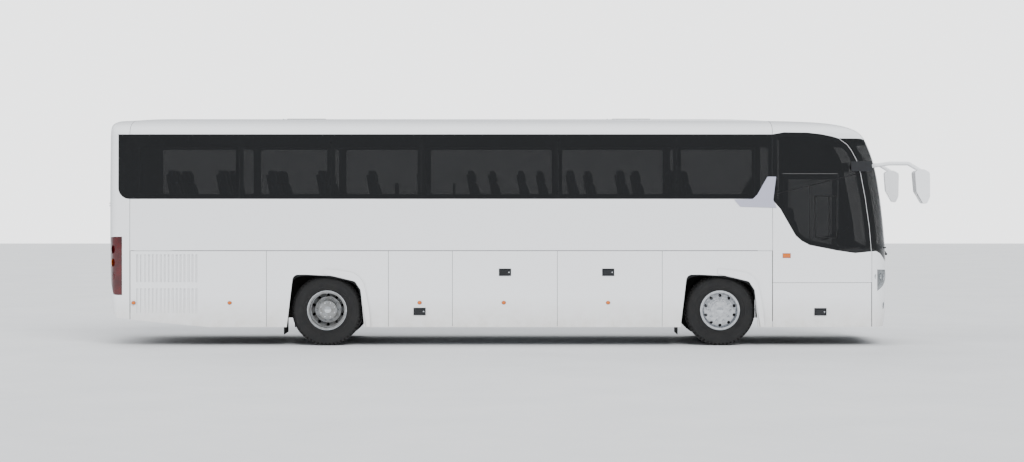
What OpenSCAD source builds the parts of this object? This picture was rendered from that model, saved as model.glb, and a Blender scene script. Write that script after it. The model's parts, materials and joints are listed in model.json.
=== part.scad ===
// Touring coach, two axles, right-hand drive.
// +X forward, +Y left, +Z up, origin on the ground at the middle of the overall length and width.

/* [Body] */
// Length of the body without the mirrors
body_length = 12000; // [10500:100:14400]
// Width of the body over the side panels
body_width = 2550; // [2400:10:3060]
// Height of the roof crown above the ground
body_height = 3470; // [3150:10:4100]
// Height of the lower edge of the skirt above the ground
skirt_z = 285; // [200:5:340]
// Height of the seam between skirt and side wall
belt_z = 1444; // [1380:2:1460]
// Height of the passenger window band
window_h = 982; // [800:2:1150]
// Thickness of side walls, roof and end caps
wall_t = 60; // [40:5:70]
// Thickness of skirt panels and outer doors
door_t = 40; // [25:5:50]
// Thickness of bonded glass
glass_t = 8; // [6:1:12]
// Width of an open joint between panels
seam = 6; // [6:1:10]

/* [Nose and tail] */
// Depth over which the plan outline rounds off at the nose
nose_depth = 500; // [400:10:600]
// Depth over which the plan outline rounds off at the tail
tail_depth = 220; // [150:10:300]
// How far the mirrors reach ahead of the body
mirror_reach = 500; // [420:10:600]

/* [Running gear] */
// Distance between the axles
wheelbase = 5970; // [5500:10:7200]
// Front axle to the foremost point of the body
front_overhang = 2645; // [2500:5:2900]
// Outside diameter of the tyres
tyre_d = 1070; // [960:5:1090]
// Section width of a tyre
tyre_w = 312; // [260:1:320]
// Side distance from the centre line to a front wheel's centre
front_wheel_y = 1060; // [1040:5:1075]
// Side distance from the centre line to the middle of a rear twin wheel
rear_wheel_y = 905; // [880:5:915]
// Side distance from the centre line to a kingpin
kingpin_y = 890; // [870:5:900]

/* [Doors] */
// Width of the front passenger door
front_door_w = 890; // [800:10:940]
// Height of the top edge of the front passenger door
front_door_top = 2620; // [2400:10:2700]
// Width of the centre passenger door
centre_door_w = 850; // [700:10:880]
// Length of the swing arm of a passenger door between its pivots
door_arm = 380; // [340:10:400]
// Length of the lift arm of a luggage door between its pivots
lift_arm = 520; // [440:10:560]

/* [Hidden] */
$fn = 48;
white = "#eceded";
black = "#15171a";
steel = "#5b6066";

// main places
w = body_width / 2;
rear_x = -(body_length + mirror_reach) / 2;
front_x = rear_x + body_length;
front_axle_x = front_x - front_overhang;
rear_axle_x = front_axle_x - wheelbase;
axle_z = tyre_d / 2;
deck_z = belt_z + 26;
deck_t = 60;
lean = 40;
lean_z = belt_z + 56;
band_hi = body_height - 261;
band_lo = band_hi - window_h;
crown = body_height - band_hi;
tuck = 14;
skirt_in = w - door_t;
wall_in = w - wall_t;

// play between a closed door or lid and the seal that it rests on
rest_gap = 0.3;

// panel joints along the side
rear_cap_x = rear_x + 400;
rear_arch_x0 = rear_axle_x - 908;
rear_arch_x1 = rear_axle_x + 940;
bay_x0 = rear_axle_x + 1910;
bay_x2 = front_axle_x - 880;
bay_x1 = (bay_x0 + bay_x2) / 2;
cap_x = front_axle_x + 788;
mask_x = front_x - 340;
lower_z = 961;
nose_flat_x = front_x - nose_depth;
tail_flat_x = rear_x + tail_depth;

// passenger doors
front_door_x1 = nose_flat_x - 20;
front_door_x0 = front_door_x1 - front_door_w;
centre_door_x0 = (rear_arch_x1 + bay_x0 - centre_door_w) / 2;
centre_door_x1 = centre_door_x0 + centre_door_w;
centre_door_top = band_lo - 14;
door_z = 330;

// outlines

function arc(cx, cy, r, a0, a1, n) = [for (i = [0:n]) let (a = a0 + (a1 - a0) * i / n) [cx + r * cos(a), cy + r * sin(a)]];

// quarter of a rounded end with the semi-axes a and b and the squareness p
function bow(a, b, p, t) = [a * cos(t), b * pow(abs(sin(t)), 2 / p) * sign(sin(t))];

plan_pts = concat(
  [for (t = [-90:6:90]) let (q = bow(nose_depth, w, 3.2, t)) [nose_flat_x + q[0], q[1]]],
  [for (t = [-90:9:90]) let (q = bow(tail_depth, w, 4, t)) [tail_flat_x - q[0], -q[1]]]
);

// nose outline: distance behind the foremost point, and share of the height between bumper and roof
nose_z = 1260;
nose_line = [
  [0, 0], [24, 0.1], [70, 0.2], [104, 0.29], [160, 0.43], [238, 0.6], [308, 0.71], [398, 0.81], [452, 0.86],
  [520, 0.895], [620, 0.925], [760, 0.95], [940, 0.97], [1180, 0.984], [1480, 0.993], [1800, 1]
];

function side_pts(low) = concat(
  [[front_x - 110, low], [front_x - 100, 310], [front_x - 40, 400], [front_x - 8, 560]],
  [for (p = nose_line) [front_x - p[0], nose_z + p[1] * (body_height - nose_z)]],
  arc(rear_x + 190, body_height - 160, 160, 90, 172, 8),
  [[rear_x, 2300], [rear_x, 1000], [rear_x + 60, 700], [rear_x + 105, 480]],
  low < 0
    ? [[rear_x + 105, low]]
    : [[rear_x + 180, 427], [rear_cap_x, 397], [rear_x + 1598, low]]
);

function half_section(low) = concat(
  [[w - tuck, low], [w, 700], [w, lean_z]],
  [for (t = [0:7.5:90]) let (q = bow(w - lean, crown, 2.6, t)) [q[0], band_hi + q[1]]]
);

function section_pts(low) = concat(
  half_section(low),
  [for (i = [len(half_section(low)) - 2:-1:0]) [-half_section(low)[i][0], half_section(low)[i][1]]]
);

module plan2d(t) offset(delta = -t) polygon(plan_pts);
module side2d(t, low) offset(delta = -t) polygon(side_pts(low));
module section2d(t, low) offset(delta = -t) polygon(section_pts(low));

module along_x(x0, x1) translate([x0, 0, 0]) rotate([90, 0, 90]) linear_extrude(x1 - x0) children();
module along_y(y0, y1) translate([0, y1, 0]) rotate([90, 0, 0]) linear_extrude(y1 - y0) children();
module box(x0, x1, y0, y1, z0, z1) translate([x0, y0, z0]) cube([x1 - x0, y1 - y0, z1 - z0]);
module sides() { children(); mirror([0, 1, 0]) children(); }

// everything within the outer surface less a depth t, open below when low is under the ground
module within(t, x0, x1, low = skirt_z) {
  intersection() {
    translate([0, 0, -600]) linear_extrude(body_height + 1200) plan2d(t);
    along_y(-2 * w, 2 * w) side2d(t, low);
    along_x(x0, x1) section2d(t, low);
  }
}

// layer of the body between two depths
module layer(t0, t1, x0, x1) {
  difference() {
    within(t0, x0, x1);
    within(t1, x0 - 1, x1 + 1, -500);
  }
}

// straight side panel on the left, as a layer between two depths
module side_strip(t0, t1, x0, x1, z0, z1) {
  along_x(x0, x1) intersection() {
    difference() { section2d(t0, skirt_z); section2d(t1, -500); }
    translate([w / 2, z0]) square([w, z1 - z0]);
  }
}

// side glass

glass_gap = 5;
pane_x = [
  tail_flat_x + 12, rear_axle_x - 1322, rear_axle_x + 65, rear_axle_x + 1436,
  (bay_x1 + 13), front_axle_x - 657, cap_x
];

module band2d() {
  intersection() {
    union() {
      translate([tail_flat_x, band_lo + 170]) square([cap_x - tail_flat_x, window_h - 170]);
      translate([tail_flat_x + 170, band_lo]) square([cap_x - tail_flat_x - 170, 200]);
      translate([tail_flat_x + 170, band_lo + 170]) circle(170);
    }
    translate([tail_flat_x, band_lo]) square([cap_x - tail_flat_x, window_h]);
  }
}

module pane_apertures2d() {
  for (i = [0:len(pane_x) - 2])
    translate([pane_x[i] + (i == 0 ? 300 : 58), band_lo + 64])
      offset(40) offset(-40) square([pane_x[i + 1] - pane_x[i] - (i == 0 ? 358 : 116), window_h - 264]);
}

// outline of the dark glazing beside the driver, from the roof down to the mask
pillar_line = [
  [front_x - 850, band_hi - 62], [front_x - 719, band_hi - 161], [front_x - 653, band_hi - 251],
  [front_x - 576, band_hi - 395], [front_x - 517, band_hi - 604], [front_x - 446, band_lo + 12],
  [front_x - 381, belt_z + 365], [front_x - 348, belt_z - 14]
];

module cab_glass2d() {
  polygon(concat(
    [[cap_x + seam, band_lo - 20], [cap_x + seam, band_hi], [cap_x + 180, band_hi + 30], [cap_x + 520, band_hi + 26]],
    [[cap_x + 730, band_hi + 4], [cap_x + 900, band_hi - 30]],
    pillar_line,
    [[front_x - 600, belt_z - 38], [cap_x + 990, belt_z], [cap_x + 560, belt_z + 85], [cap_x + 440, belt_z + 150]],
    [[cap_x + 350, belt_z + 230], [cap_x + 120, band_lo - 150]]
  ));
}

module windscreen2d() {
  polygon(concat(
    [for (p = pillar_line) [p[0] + glass_gap, p[1]]],
    [[front_x - 270, belt_z - 9], [front_x - 200, belt_z - 47], [front_x - 95, belt_z - 164], [front_x + 60, belt_z - 180]],
    [[front_x + 60, band_hi - 62]]
  ));
}

module side_glass() {
  color(black) sides() {
    for (i = [0:len(pane_x) - 2])
      intersection() {
        side_strip(0, glass_t, pane_x[i], pane_x[i + 1] - glass_gap, band_lo, band_hi);
        along_y(0, 2 * w) intersection() {
          band2d();
          translate([pane_x[i], 0]) square([pane_x[i + 1] - pane_x[i] - glass_gap, body_height]);
        }
      }
  }
  color(black) difference() {
    intersection() {
      layer(0, glass_t, cap_x, front_x);
      along_y(-2 * w, 2 * w) cab_glass2d();
      sides() box(cap_x, front_x, w / 2, 2 * w, belt_z - 100, body_height);
    }
    front_door_space(seam);
  }
}

module windscreen() {
  color(black) intersection() {
    layer(0, glass_t, cap_x, front_x + 10);
    along_y(-2 * w, 2 * w) windscreen2d();
  }
}

// passenger door spaces with an even gap around

module front_door_space(g) {
  box(front_door_x0 - g, front_door_x1 + g, w / 2, 2 * w, skirt_z - 200, front_door_top + g);
}

module centre_door_space(g) {
  box(centre_door_x0 - g, centre_door_x1 + g, w / 2, 2 * w, skirt_z - 200, centre_door_top + g);
}

// body shell

module hatch_space(x, g) box(x - 400 - g, x + 400 + g, -320 - g, 320 + g, body_height - 300, body_height + 100);
module hatch_hole(x) box(x - 330, x + 330, -260, 260, body_height - 300, body_height + 100);
hatch_x = [rear_axle_x - 400, front_axle_x - 1300];
hatch_t = 30;

module roof() {
  color(white) difference() {
    along_x(rear_cap_x, cap_x) intersection() {
      difference() { section2d(0, skirt_z); section2d(wall_t, -500); }
      translate([-2 * w, band_hi]) square([4 * w, 2 * crown]);
    }
    for (x = hatch_x) {
      hatch_hole(x);
      difference() {
        hatch_space(x, seam);
        along_x(x - 500, x + 500) section2d(hatch_t + rest_gap, -500);
      }
    }
  }
}

module roof_hatch(x) {
  color(white) intersection() {
    along_x(x - 400, x + 400) difference() { section2d(0, skirt_z); section2d(hatch_t, -500); }
    hatch_space(x, 0);
  }
}

module side_wall() {
  color(white) difference() {
    union() {
      side_strip(0, wall_t, rear_cap_x, cap_x, belt_z, band_lo);
      side_strip(glass_t, wall_t, rear_cap_x, cap_x, band_lo, band_hi);
    }
    along_y(w / 2, 2 * w) pane_apertures2d();
  }
}

module side_wall_left() {
  difference() {
    side_wall();
    centre_door_space(seam);
  }
}

module joint_groove(x) {
  along_x(x, x + seam) difference() { section2d(-20, skirt_z - 100); section2d(12, -500); }
}

module tail_lamp2d() {
  polygon([[w - 210, 1640], [w + 50, 1660], [w + 50, 760], [w - 60, 780], [w - 190, 1100]]);
}

rear_window_z0 = band_lo + 60;
rear_window_z1 = band_hi - 120;
module rear_glass2d() translate([-1010, rear_window_z0]) square([2020, rear_window_z1 - rear_window_z0]);

lid_w = 1640;
lid_z0 = 700;
lid_z1 = 1860;
module engine_lid_space(g) box(rear_x - 200, rear_x + 300, -lid_w / 2 - g, lid_w / 2 + g, lid_z0 - g, lid_z1 + g);

module rear_cap() {
  color(white) difference() {
    layer(0, wall_t, rear_x - 10, rear_cap_x);
    difference() {
      along_x(rear_x - 50, rear_x + 300) rear_glass2d();
      within(glass_t, rear_x - 10, rear_x + 600);
    }
    along_x(rear_x - 50, rear_x + 300) offset(-90) rear_glass2d();
    difference() {
      sides() along_y(w / 2, 2 * w) band2d();
      within(glass_t, rear_x - 10, rear_cap_x + 10);
    }
    difference() {
      sides() along_x(rear_x - 50, rear_x + 280) tail_lamp2d();
      within(42, rear_x - 10, rear_cap_x);
    }
    engine_lid_space(seam);
    joint_groove(rear_cap_x - seam);
  }
  color(black) lid_stops();
}

// rubber stops behind the engine lid's side edges
module lid_stops() {
  for (z = [lid_z0 + 200, lid_z1 - 300]) intersection() {
    sides() box(rear_x, rear_x + 300, lid_w / 2 - 30, lid_w / 2 + 50, z, z + 80);
    union() {
      layer(wall_t + rest_gap, wall_t + 14, rear_x, rear_x + 300);
      intersection() {
        layer(wall_t - 2, wall_t + 14, rear_x, rear_x + 300);
        sides() box(rear_x, rear_x + 300, lid_w / 2 + seam, w, z, z + 80);
      }
    }
  }
}

module rear_window() {
  color(black) intersection() {
    layer(0, glass_t, rear_x - 10, rear_x + 300);
    along_x(rear_x - 50, rear_x + 300) offset(-4) rear_glass2d();
  }
}

module tail_lamps() {
  color("#8c1414") intersection() {
    layer(0, 42, rear_x - 10, rear_x + 280);
    sides() along_x(rear_x - 50, rear_x + 276) offset(-3) tail_lamp2d();
  }
}

module engine_lid() {
  color(white) intersection() {
    layer(0, wall_t, rear_x - 10, rear_x + 300);
    engine_lid_space(0);
  }
}

module locker_space(g) {
  box(cap_x - g + seam, mask_x + g - seam, -2 * w, -w / 2, skirt_z - 100, lower_z + g - seam);
}

module head_lamp2d() polygon([[650, 1130], [w + 20, 1160], [w + 20, 960], [w - 110, 830], [820, 1010]]);

module front_cap() {
  color(white) difference() {
    layer(0, wall_t, cap_x, front_x + 10);
    front_region();
    difference() {
      union() {
        along_y(-2 * w, 2 * w) windscreen2d();
        sides() along_y(w / 2, 2 * w) cab_glass2d();
      }
      within(glass_t, cap_x - 10, front_x + 10);
    }
    along_y(-2 * w, 2 * w) intersection() {
      offset(-95) windscreen2d();
      translate([front_x - 2000, 0]) square([3000, band_hi - 130]);
    }
    along_y(-2 * w, -w / 2) offset(-70) cab_glass2d();
    along_y(w / 2, 2 * w) intersection() {
      offset(-70) cab_glass2d();
      translate([cap_x, 0]) square([front_door_x0 - 60 - cap_x, body_height]);
    }
    front_door_space(seam);
    locker_space(seam);
    joint_groove(cap_x);
  }
}

// zone of the mask and bumper
module front_region() {
  box(mask_x, front_x + 100, -2 * w, 2 * w, 0, belt_z - 14);
}

module front_mask() {
  color(white) difference() {
    intersection() {
      layer(0, wall_t, mask_x - 20, front_x + 10);
      box(mask_x + seam, front_x + 100, -2 * w, 2 * w, 0, belt_z - 14);
    }
    difference() {
      along_y(-2 * w, 2 * w) offset(1) windscreen2d();
      within(glass_t, mask_x - 50, front_x + 10);
    }
    difference() {
      sides() along_x(mask_x + 90, front_x + 50) head_lamp2d();
      within(48, mask_x - 50, front_x + 10);
    }
    front_door_space(seam);
  }
}

module headlamps() {
  color("#c9d2da") intersection() {
    layer(0, 48, mask_x, front_x + 10);
    sides() along_x(mask_x + 93, front_x + 50) offset(-3) head_lamp2d();
  }
}

// skirt panels with wheel arches

arch_k = tyre_d / 1070;
module arch2d(x) {
  translate([x, 0]) scale(arch_k) offset(85) offset(-85)
    polygon([[-645, -200], [-640, 0], [-510, 1078], [-330, 1082], [60, 1064], [430, 978], [515, 850], [600, 0], [605, -200]]);
}

module flare2d(x) {
  translate([x, 0]) scale(arch_k) polygon([
    [-42, 1090], [-42, 1168], [200, 1148], [405, 1111], [500, 1047], [564, 952], [606, 770], [648, 536], [665, 290],
    [605, 290], [560, 560], [515, 850], [430, 978], [200, 1040]
  ]);
}

flare_t = 12;

module skirt_panel(x0, x1, z0 = skirt_z) {
  side_strip(0, door_t, x0, x1, z0, belt_z - seam);
}

module flare(x) {
  difference() {
    intersection() {
      along_y(w, w + flare_t) flare2d(x);
      box(x - 1000, x + 1000, w, w + flare_t, skirt_z, belt_z);
    }
    along_y(w - 10, w + 50) arch2d(x);
  }
}

module skirt() {
  color(white) {
    difference() {
      skirt_panel(rear_arch_x0, rear_arch_x1 - seam);
      along_y(w / 2, 2 * w) arch2d(rear_axle_x);
    }
    flare(rear_axle_x);
    difference() {
      skirt_panel(bay_x2, cap_x - seam);
      along_y(w / 2, 2 * w) arch2d(front_axle_x);
    }
    flare(front_axle_x);
  }
  color(white) rear_quarter();
}

// rear quarter panel with two louvred grilles
grille_x0 = rear_cap_x + 100;
grille_x1 = rear_cap_x + 1040;
module rear_quarter() {
  difference() {
    intersection() {
      skirt_panel(rear_cap_x + seam, rear_arch_x0 - seam);
      along_y(0, 2 * w) side2d(0, skirt_z);
    }
    for (z = [[970, 1385], [500, 870]])
      for (x = [grille_x0:60:grille_x1 - 30]) box(x, x + 28, w - 25, w + 10, z[0], z[1]);
  }
}

// outer doors below the belt

module luggage_door(x0, x1) {
  color(white) side_strip(0, door_t, x0, x1 - seam, skirt_z, belt_z - seam);
}

lift_pivot = [w - 100, belt_z - 99];
lift_foot = [lift_pivot[0], lift_pivot[1] - lift_arm];
lift_pin_r = 12;
lift_arm_t = 16;
lift_eye_r = 22;
pin_play = 0.4;

function lift_places(x0, x1) = [[x0 + 70, -1], [x1 - 70 - lift_arm_t, 1]];

// two lift arms inside one luggage door
module lift_arms(x0, x1) {
  color(steel) for (place = lift_places(x0, x1))
    along_x(place[0], place[0] + lift_arm_t) difference() {
      union() {
        translate(lift_pivot) circle(lift_eye_r);
        translate(lift_foot) circle(lift_eye_r);
        translate([lift_foot[0] - lift_eye_r * 0.7, lift_foot[1]]) square([lift_eye_r * 1.4, lift_arm]);
      }
      translate(lift_pivot) circle(lift_pin_r + pin_play);
      translate(lift_foot) circle(lift_pin_r + pin_play);
    }
}

// a plate beside each lift arm with the pin that the arm turns on, the plate's outline being the child
module lift_brackets(x0, x1, pin) {
  for (place = lift_places(x0, x1)) {
    x = place[0];
    plate_x = place[1] < 0 ? x - 22 : x + lift_arm_t + 6;
    along_x(plate_x, plate_x + 16) children();
    along_x(min(plate_x, x - 4), max(plate_x + 16, x + lift_arm_t + 4)) translate(pin) circle(lift_pin_r);
  }
}

module door_brackets(x0, x1) {
  lift_brackets(x0, x1, lift_foot)
    translate([lift_foot[0] - 24, lift_foot[1] - 30]) square([skirt_in - lift_foot[0] + 24, 60]);
}

module body_brackets(x0, x1) {
  lift_brackets(x0, x1, lift_pivot)
    translate([lift_pivot[0] - 24, lift_pivot[1] - 24]) square([48, deck_z - deck_t - lift_pivot[1] + 24]);
}

module luggage_door_set(x0, x1) {
  luggage_door(x0, x1);
  color(steel) door_brackets(x0, x1 - seam);
}

module service_door() {
  mirror([0, 1, 0]) color(white) side_strip(0, door_t, rear_arch_x1, bay_x0 - seam, skirt_z, belt_z - seam);
}

module locker_door() {
  color(white) intersection() {
    layer(0, door_t, cap_x, mask_x);
    locker_space(0);
  }
}

// passenger doors on cranked swing arms

door_swing = 152;
door_reach = 165;
door_arm_z = 1190;
door_arm_h = 60;
column_r = 20;
hinge_y = w - 110;
front_hinge_x = front_door_x1 - 50;
centre_hinge_x = centre_door_x0 + 50;
door_pin = [-door_arm, 15];

module front_door() {
  color(white) difference() {
    intersection() {
      layer(0, door_t, front_door_x0 - 10, front_door_x1 + 10);
      front_door_space(0);
      box(cap_x, front_x, 0, 2 * w, door_z, body_height);
    }
    box(front_door_x0 + 90, front_door_x1 - 90, w / 2, 2 * w, belt_z - 250, front_door_top - 90);
  }
  color(black) intersection() {
    layer(glass_t, 3 * glass_t, front_door_x0, front_door_x1);
    box(front_door_x0 + 90, front_door_x1 - 90, w / 2, 2 * w, belt_z - 250, front_door_top - 90);
  }
  translate([front_hinge_x, hinge_y, 0]) door_lugs();
}

module centre_door() {
  color(white) difference() {
    side_strip(0, door_t, centre_door_x0, centre_door_x1, door_z, centre_door_top);
    box(centre_door_x0 + 90, centre_door_x1 - 90, w / 2, 2 * w, belt_z - 130, centre_door_top - 90);
  }
  color(black) intersection() {
    side_strip(glass_t, 3 * glass_t, centre_door_x0, centre_door_x1, door_z, centre_door_top);
    box(centre_door_x0 + 90, centre_door_x1 - 90, w / 2, 2 * w, belt_z - 130, centre_door_top - 90);
  }
  translate([centre_hinge_x, hinge_y, 0]) mirror([1, 0, 0]) door_lugs();
}

// lugs above and below the arm's eye with their pin, drawn from the column's axis
module door_lugs() {
  color(steel) {
    for (z = [door_arm_z - 26, door_arm_z + door_arm_h + 6])
      box(door_pin[0] - 22, door_pin[0] + 22, door_pin[1] - 22, skirt_in - hinge_y, z, z + 20);
    box(door_pin[0] - 60, door_pin[0] - 40, skirt_in - hinge_y - 14, skirt_in - hinge_y, door_arm_z - 200, door_arm_z + 260);
    translate([door_pin[0], door_pin[1], door_arm_z - 20]) cylinder(r = lift_pin_r, h = door_arm_h + 40);
  }
}

// cranked arm drawn from the column's axis with the door closed
module swing_arm() {
  elbow = [-door_reach * sin(door_swing), door_reach * cos(door_swing)];
  color(steel) translate([0, 0, door_arm_z]) linear_extrude(door_arm_h) difference() {
    union() {
      circle(column_r + 14);
      translate(door_pin) circle(lift_eye_r);
      bar2d([0, 0], elbow, 13);
      bar2d(elbow, door_pin, 13);
      translate(elbow) circle(13);
    }
    circle(column_r + pin_play);
    translate(door_pin) circle(lift_pin_r + pin_play);
  }
}

module bar2d(a, b, half) {
  d = b - a;
  translate(a) rotate(atan2(d[1], d[0])) translate([0, -half]) square([norm(d), 2 * half]);
}

module front_door_arm() translate([front_hinge_x, hinge_y, 0]) swing_arm();
module centre_door_arm() translate([centre_hinge_x, hinge_y, 0]) mirror([1, 0, 0]) swing_arm();

// floors

cab_floor_z = 950;
stair_y = 560;
stair_z = 370;
centre_stair_y = 320;

module floor_deck() {
  color("#4a4d52") {
    difference() {
      box(rear_cap_x + 40, cap_x, -wall_in, wall_in, deck_z - deck_t, deck_z);
      box(centre_door_x0 - 20, centre_door_x1 + 20, centre_stair_y, w, 0, body_height);
    }
    // driver's platform and the front step
    box(cap_x, nose_flat_x - 5, -wall_in, stair_y, cab_floor_z - 50, cab_floor_z);
    box(cap_x, front_door_x0 - 30, stair_y, wall_in, cab_floor_z - 50, cab_floor_z);
    box(cap_x, cap_x + 30, -wall_in, wall_in, cab_floor_z, deck_z);
    box(cap_x + 30, cap_x + 330, -380, 380, cab_floor_z, cab_floor_z + 260);
    // front stairwell
    stairwell(front_door_x0 - 30, nose_flat_x - 5, stair_y, 3, cab_floor_z - 50);
    // centre stairwell
    stairwell(centre_door_x0 - 20, centre_door_x1 + 20, centre_stair_y, 5, deck_z - deck_t);
    for (x = [centre_door_x0 - 46, centre_door_x1 + 20]) box(x, x + 26, centre_stair_y, wall_in - 60, deck_z, deck_z + 1000);
    for (x = [front_hinge_x, centre_hinge_x])
      translate([x, hinge_y, stair_z + 20]) cylinder(r = column_r, h = 1400 - stair_z);
  }
  color(steel) sides() for (x = [[bay_x0, bay_x1], [bay_x1, bay_x2]]) body_brackets(x[0], x[1] - seam);
}

// treads that climb inward between two cheek plates, open to the door, let into the floor above
module stairwell(x0, x1, y0, steps, top) {
  rise = (top - stair_z) / steps;
  going = (wall_in - tuck - y0) / steps;
  let_in = 10;
  for (i = [0:steps - 1]) {
    y = y0 + i * going;
    z = top - (i + 1) * rise;
    box(x0, x1, y - let_in, y + going + (i < steps - 1 ? let_in : 0), z, z + 20);
    box(x0, x1, y - let_in, y + let_in, z, z + rise + let_in);
  }
  for (x = [x0 - 10, x1 - 10]) box(x, x + 20, y0 - let_in, wall_in - tuck, stair_z, top + let_in);
}

// chassis

rail_y = 380;
rail_w = 80;
rail_z0 = 700;
rail_z1 = 860;
bay_floor_z = 330;
house_x = 665;
house_z = tyre_d + 120;
house_y = 500;
plate = 20;

module wheel_house(x) {
  for (s = [-1, 1]) box(x + s * house_x - plate / 2, x + s * house_x + plate / 2, house_y, skirt_in, skirt_z + 60, house_z);
  box(x - house_x - plate / 2, x + house_x + plate / 2, house_y, skirt_in, house_z, house_z + plate);
  box(x - house_x - plate / 2, x + house_x + plate / 2, house_y - plate, house_y, rail_z0 + plate, house_z + plate);
}

seal_y = skirt_in - tuck * (700 - bay_floor_z) / 1200 - rest_gap;

// battery box behind the locker door, its edges carrying the door's seal
module locker_box() {
  x0 = cap_x + 60;
  x1 = nose_flat_x - 100;
  difference() {
    box(x0, x1, -seal_y, -rail_y - rail_w, 340, 880);
    box(x0 + plate, x1 - plate, -2 * w, -rail_y - rail_w - plate, 340 + plate, 880 - plate);
  }
}

tow_r = 25;
tow_t = 40;
tow_front = [nose_flat_x + 190, 400];
tow_rear = [rear_x + 260, 480];

// towing eyes under the nose and the tail
module tow_lugs() {
  for (t = [[tow_front, nose_flat_x - 100, rail_z0 + 50, rail_y], [tow_rear, rear_x + 320, rail_z1, 60]]) {
    eye = t[0];
    difference() {
      union() {
        box(min(eye[0], t[1]), max(eye[0], t[1] + 40), -60, 60, eye[1], eye[1] + tow_t);
        translate([eye[0], 0, eye[1]]) cylinder(r = 60, h = tow_t);
      }
      translate([eye[0], 0, eye[1] - 1]) cylinder(r = tow_r, h = tow_t + 2);
    }
    box(t[1], t[1] + 40, -t[3], t[3], eye[1] + tow_t, t[2]);
  }
}

// everything inside the skirt's inner face
module inside_skirts() {
  intersection() {
    along_x(rear_x, front_x) section2d(door_t, -500);
    children();
  }
}

module wheel_houses() {
  color(black) inside_skirts() sides() {
    wheel_house(rear_axle_x);
    wheel_house(front_axle_x);
  }
}

// floor of the luggage bays with its bulkheads and jacking pads, cut away for the centre stairs
jack_x = front_axle_x - 1200;
jack_half = 60;
jack_t = 15;
module underframe() {
  top = deck_z - deck_t;
  color(steel) inside_skirts() difference() {
    union() {
      for (x = [rear_arch_x1 - seam - plate, bay_x2]) box(x, x + plate, -skirt_in, skirt_in, bay_floor_z, top);
      for (x = [bay_x0 - plate / 2, bay_x1 - plate / 2])
        box(x, x + plate, -skirt_in + 12, skirt_in - 12, bay_floor_z, top);
      box(rear_arch_x1 - seam - plate, bay_x2 + plate, -seal_y, seal_y, bay_floor_z, bay_floor_z + plate);
      sides() box(jack_x - jack_half, jack_x + jack_half, 360, 480, bay_floor_z - jack_t, bay_floor_z);
    }
    box(centre_door_x0 - 40, centre_door_x1 + 40, centre_stair_y - 15, 2 * w, 0, top + 10);
  }
}

module chassis_rails() {
  color(steel) inside_skirts() {
    sides() {
      box(rear_x + 260, rear_arch_x1 - seam - plate, rail_y, rail_y + rail_w, rail_z0, rail_z1);
      box(bay_x2 + plate, nose_flat_x - 40, rail_y, rail_y + rail_w, rail_z0, rail_z1);
    }
    locker_box();
    tow_lugs();
    // cross-members under the tail, over the axles and under the cab
    for (x = [rear_x + 320, rear_arch_x0 - 60]) box(x, x + 60, -wall_in + 10, wall_in - 10, rail_z1, rail_z1 + 60);
    for (x = [rear_axle_x - 260, rear_axle_x + 200, front_axle_x - 260, front_axle_x + 200])
      box(x, x + 60, -rail_y, rail_y, rail_z0 + 100, rail_z1 - 10);
    for (x = [cap_x - 60, cap_x + 700]) box(x, x + 60, -stair_y + 30, stair_y - 30, rail_z0 + 40, cab_floor_z - 50);
    box(rear_arch_x0 - 60, rear_arch_x0 - 40, -skirt_in, skirt_in, skirt_z + 120, deck_z - deck_t);
  }
}

module engine_block() {
  color("#3c3f42") {
    box(rear_x + 450, rear_x + 1750, -350, 350, 520, 1340);
    sides() box(rear_x + 800, rear_x + 1300, 350, rail_y, rail_z0 + 30, rail_z1 - 30);
  }
}

module air_springs() {
  color(black) sides() {
    for (x = [rear_axle_x - 300, rear_axle_x + 300])
      translate([x, rail_y + rail_w / 2, axle_z - 90]) cylinder(d = 210, h = rail_z0 - axle_z + 90);
    for (x = [front_axle_x - 170, front_axle_x + 170])
      translate([x, rail_y + rail_w / 2, axle_z - 90]) cylinder(d = 200, h = rail_z0 - axle_z + 90);
  }
}

module mudflaps() {
  color(black) sides()
    for (x = [rear_axle_x - house_x + plate / 2, front_axle_x - house_x + plate / 2])
      box(x, x + 12, house_y + 60, skirt_in - 20, 170, 620);
}

// axles and steering

kingpin_r = 25;
spindle_r = 45;
boss_h = 130;
steer_arm = 200;
steer_arm_z = axle_z - 175;
beam_z = axle_z - 150;

module front_axle() {
  color(steel) {
    box(front_axle_x - 45, front_axle_x + 45, -kingpin_y + 90, kingpin_y - 90, beam_z - 50, beam_z + 50);
    sides() {
      box(front_axle_x - 45, front_axle_x + 45, kingpin_y - 130, kingpin_y - 90, beam_z - 50, axle_z + boss_h / 2);
      box(front_axle_x - 45, front_axle_x + 45, kingpin_y - 130, kingpin_y - 60, beam_z + 55, axle_z + boss_h / 2);
      box(front_axle_x - 45, front_axle_x + 45, kingpin_y - 130, kingpin_y - 40, axle_z - boss_h / 2, axle_z + boss_h / 2);
      difference() {
        translate([front_axle_x, kingpin_y, axle_z - boss_h / 2]) cylinder(r = 52, h = boss_h);
        translate([front_axle_x, kingpin_y, 0]) cylinder(r = kingpin_r + pin_play, h = 2 * axle_z);
      }
      for (s = [-170, 170])
        box(front_axle_x + s - 70, front_axle_x + s + 70, rail_y - 20, rail_y + rail_w + 20, axle_z - 110, axle_z - 90);
      box(front_axle_x - 200, front_axle_x + 200, rail_y, rail_y + rail_w, beam_z + 50, axle_z - 90);
    }
  }
}

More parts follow.
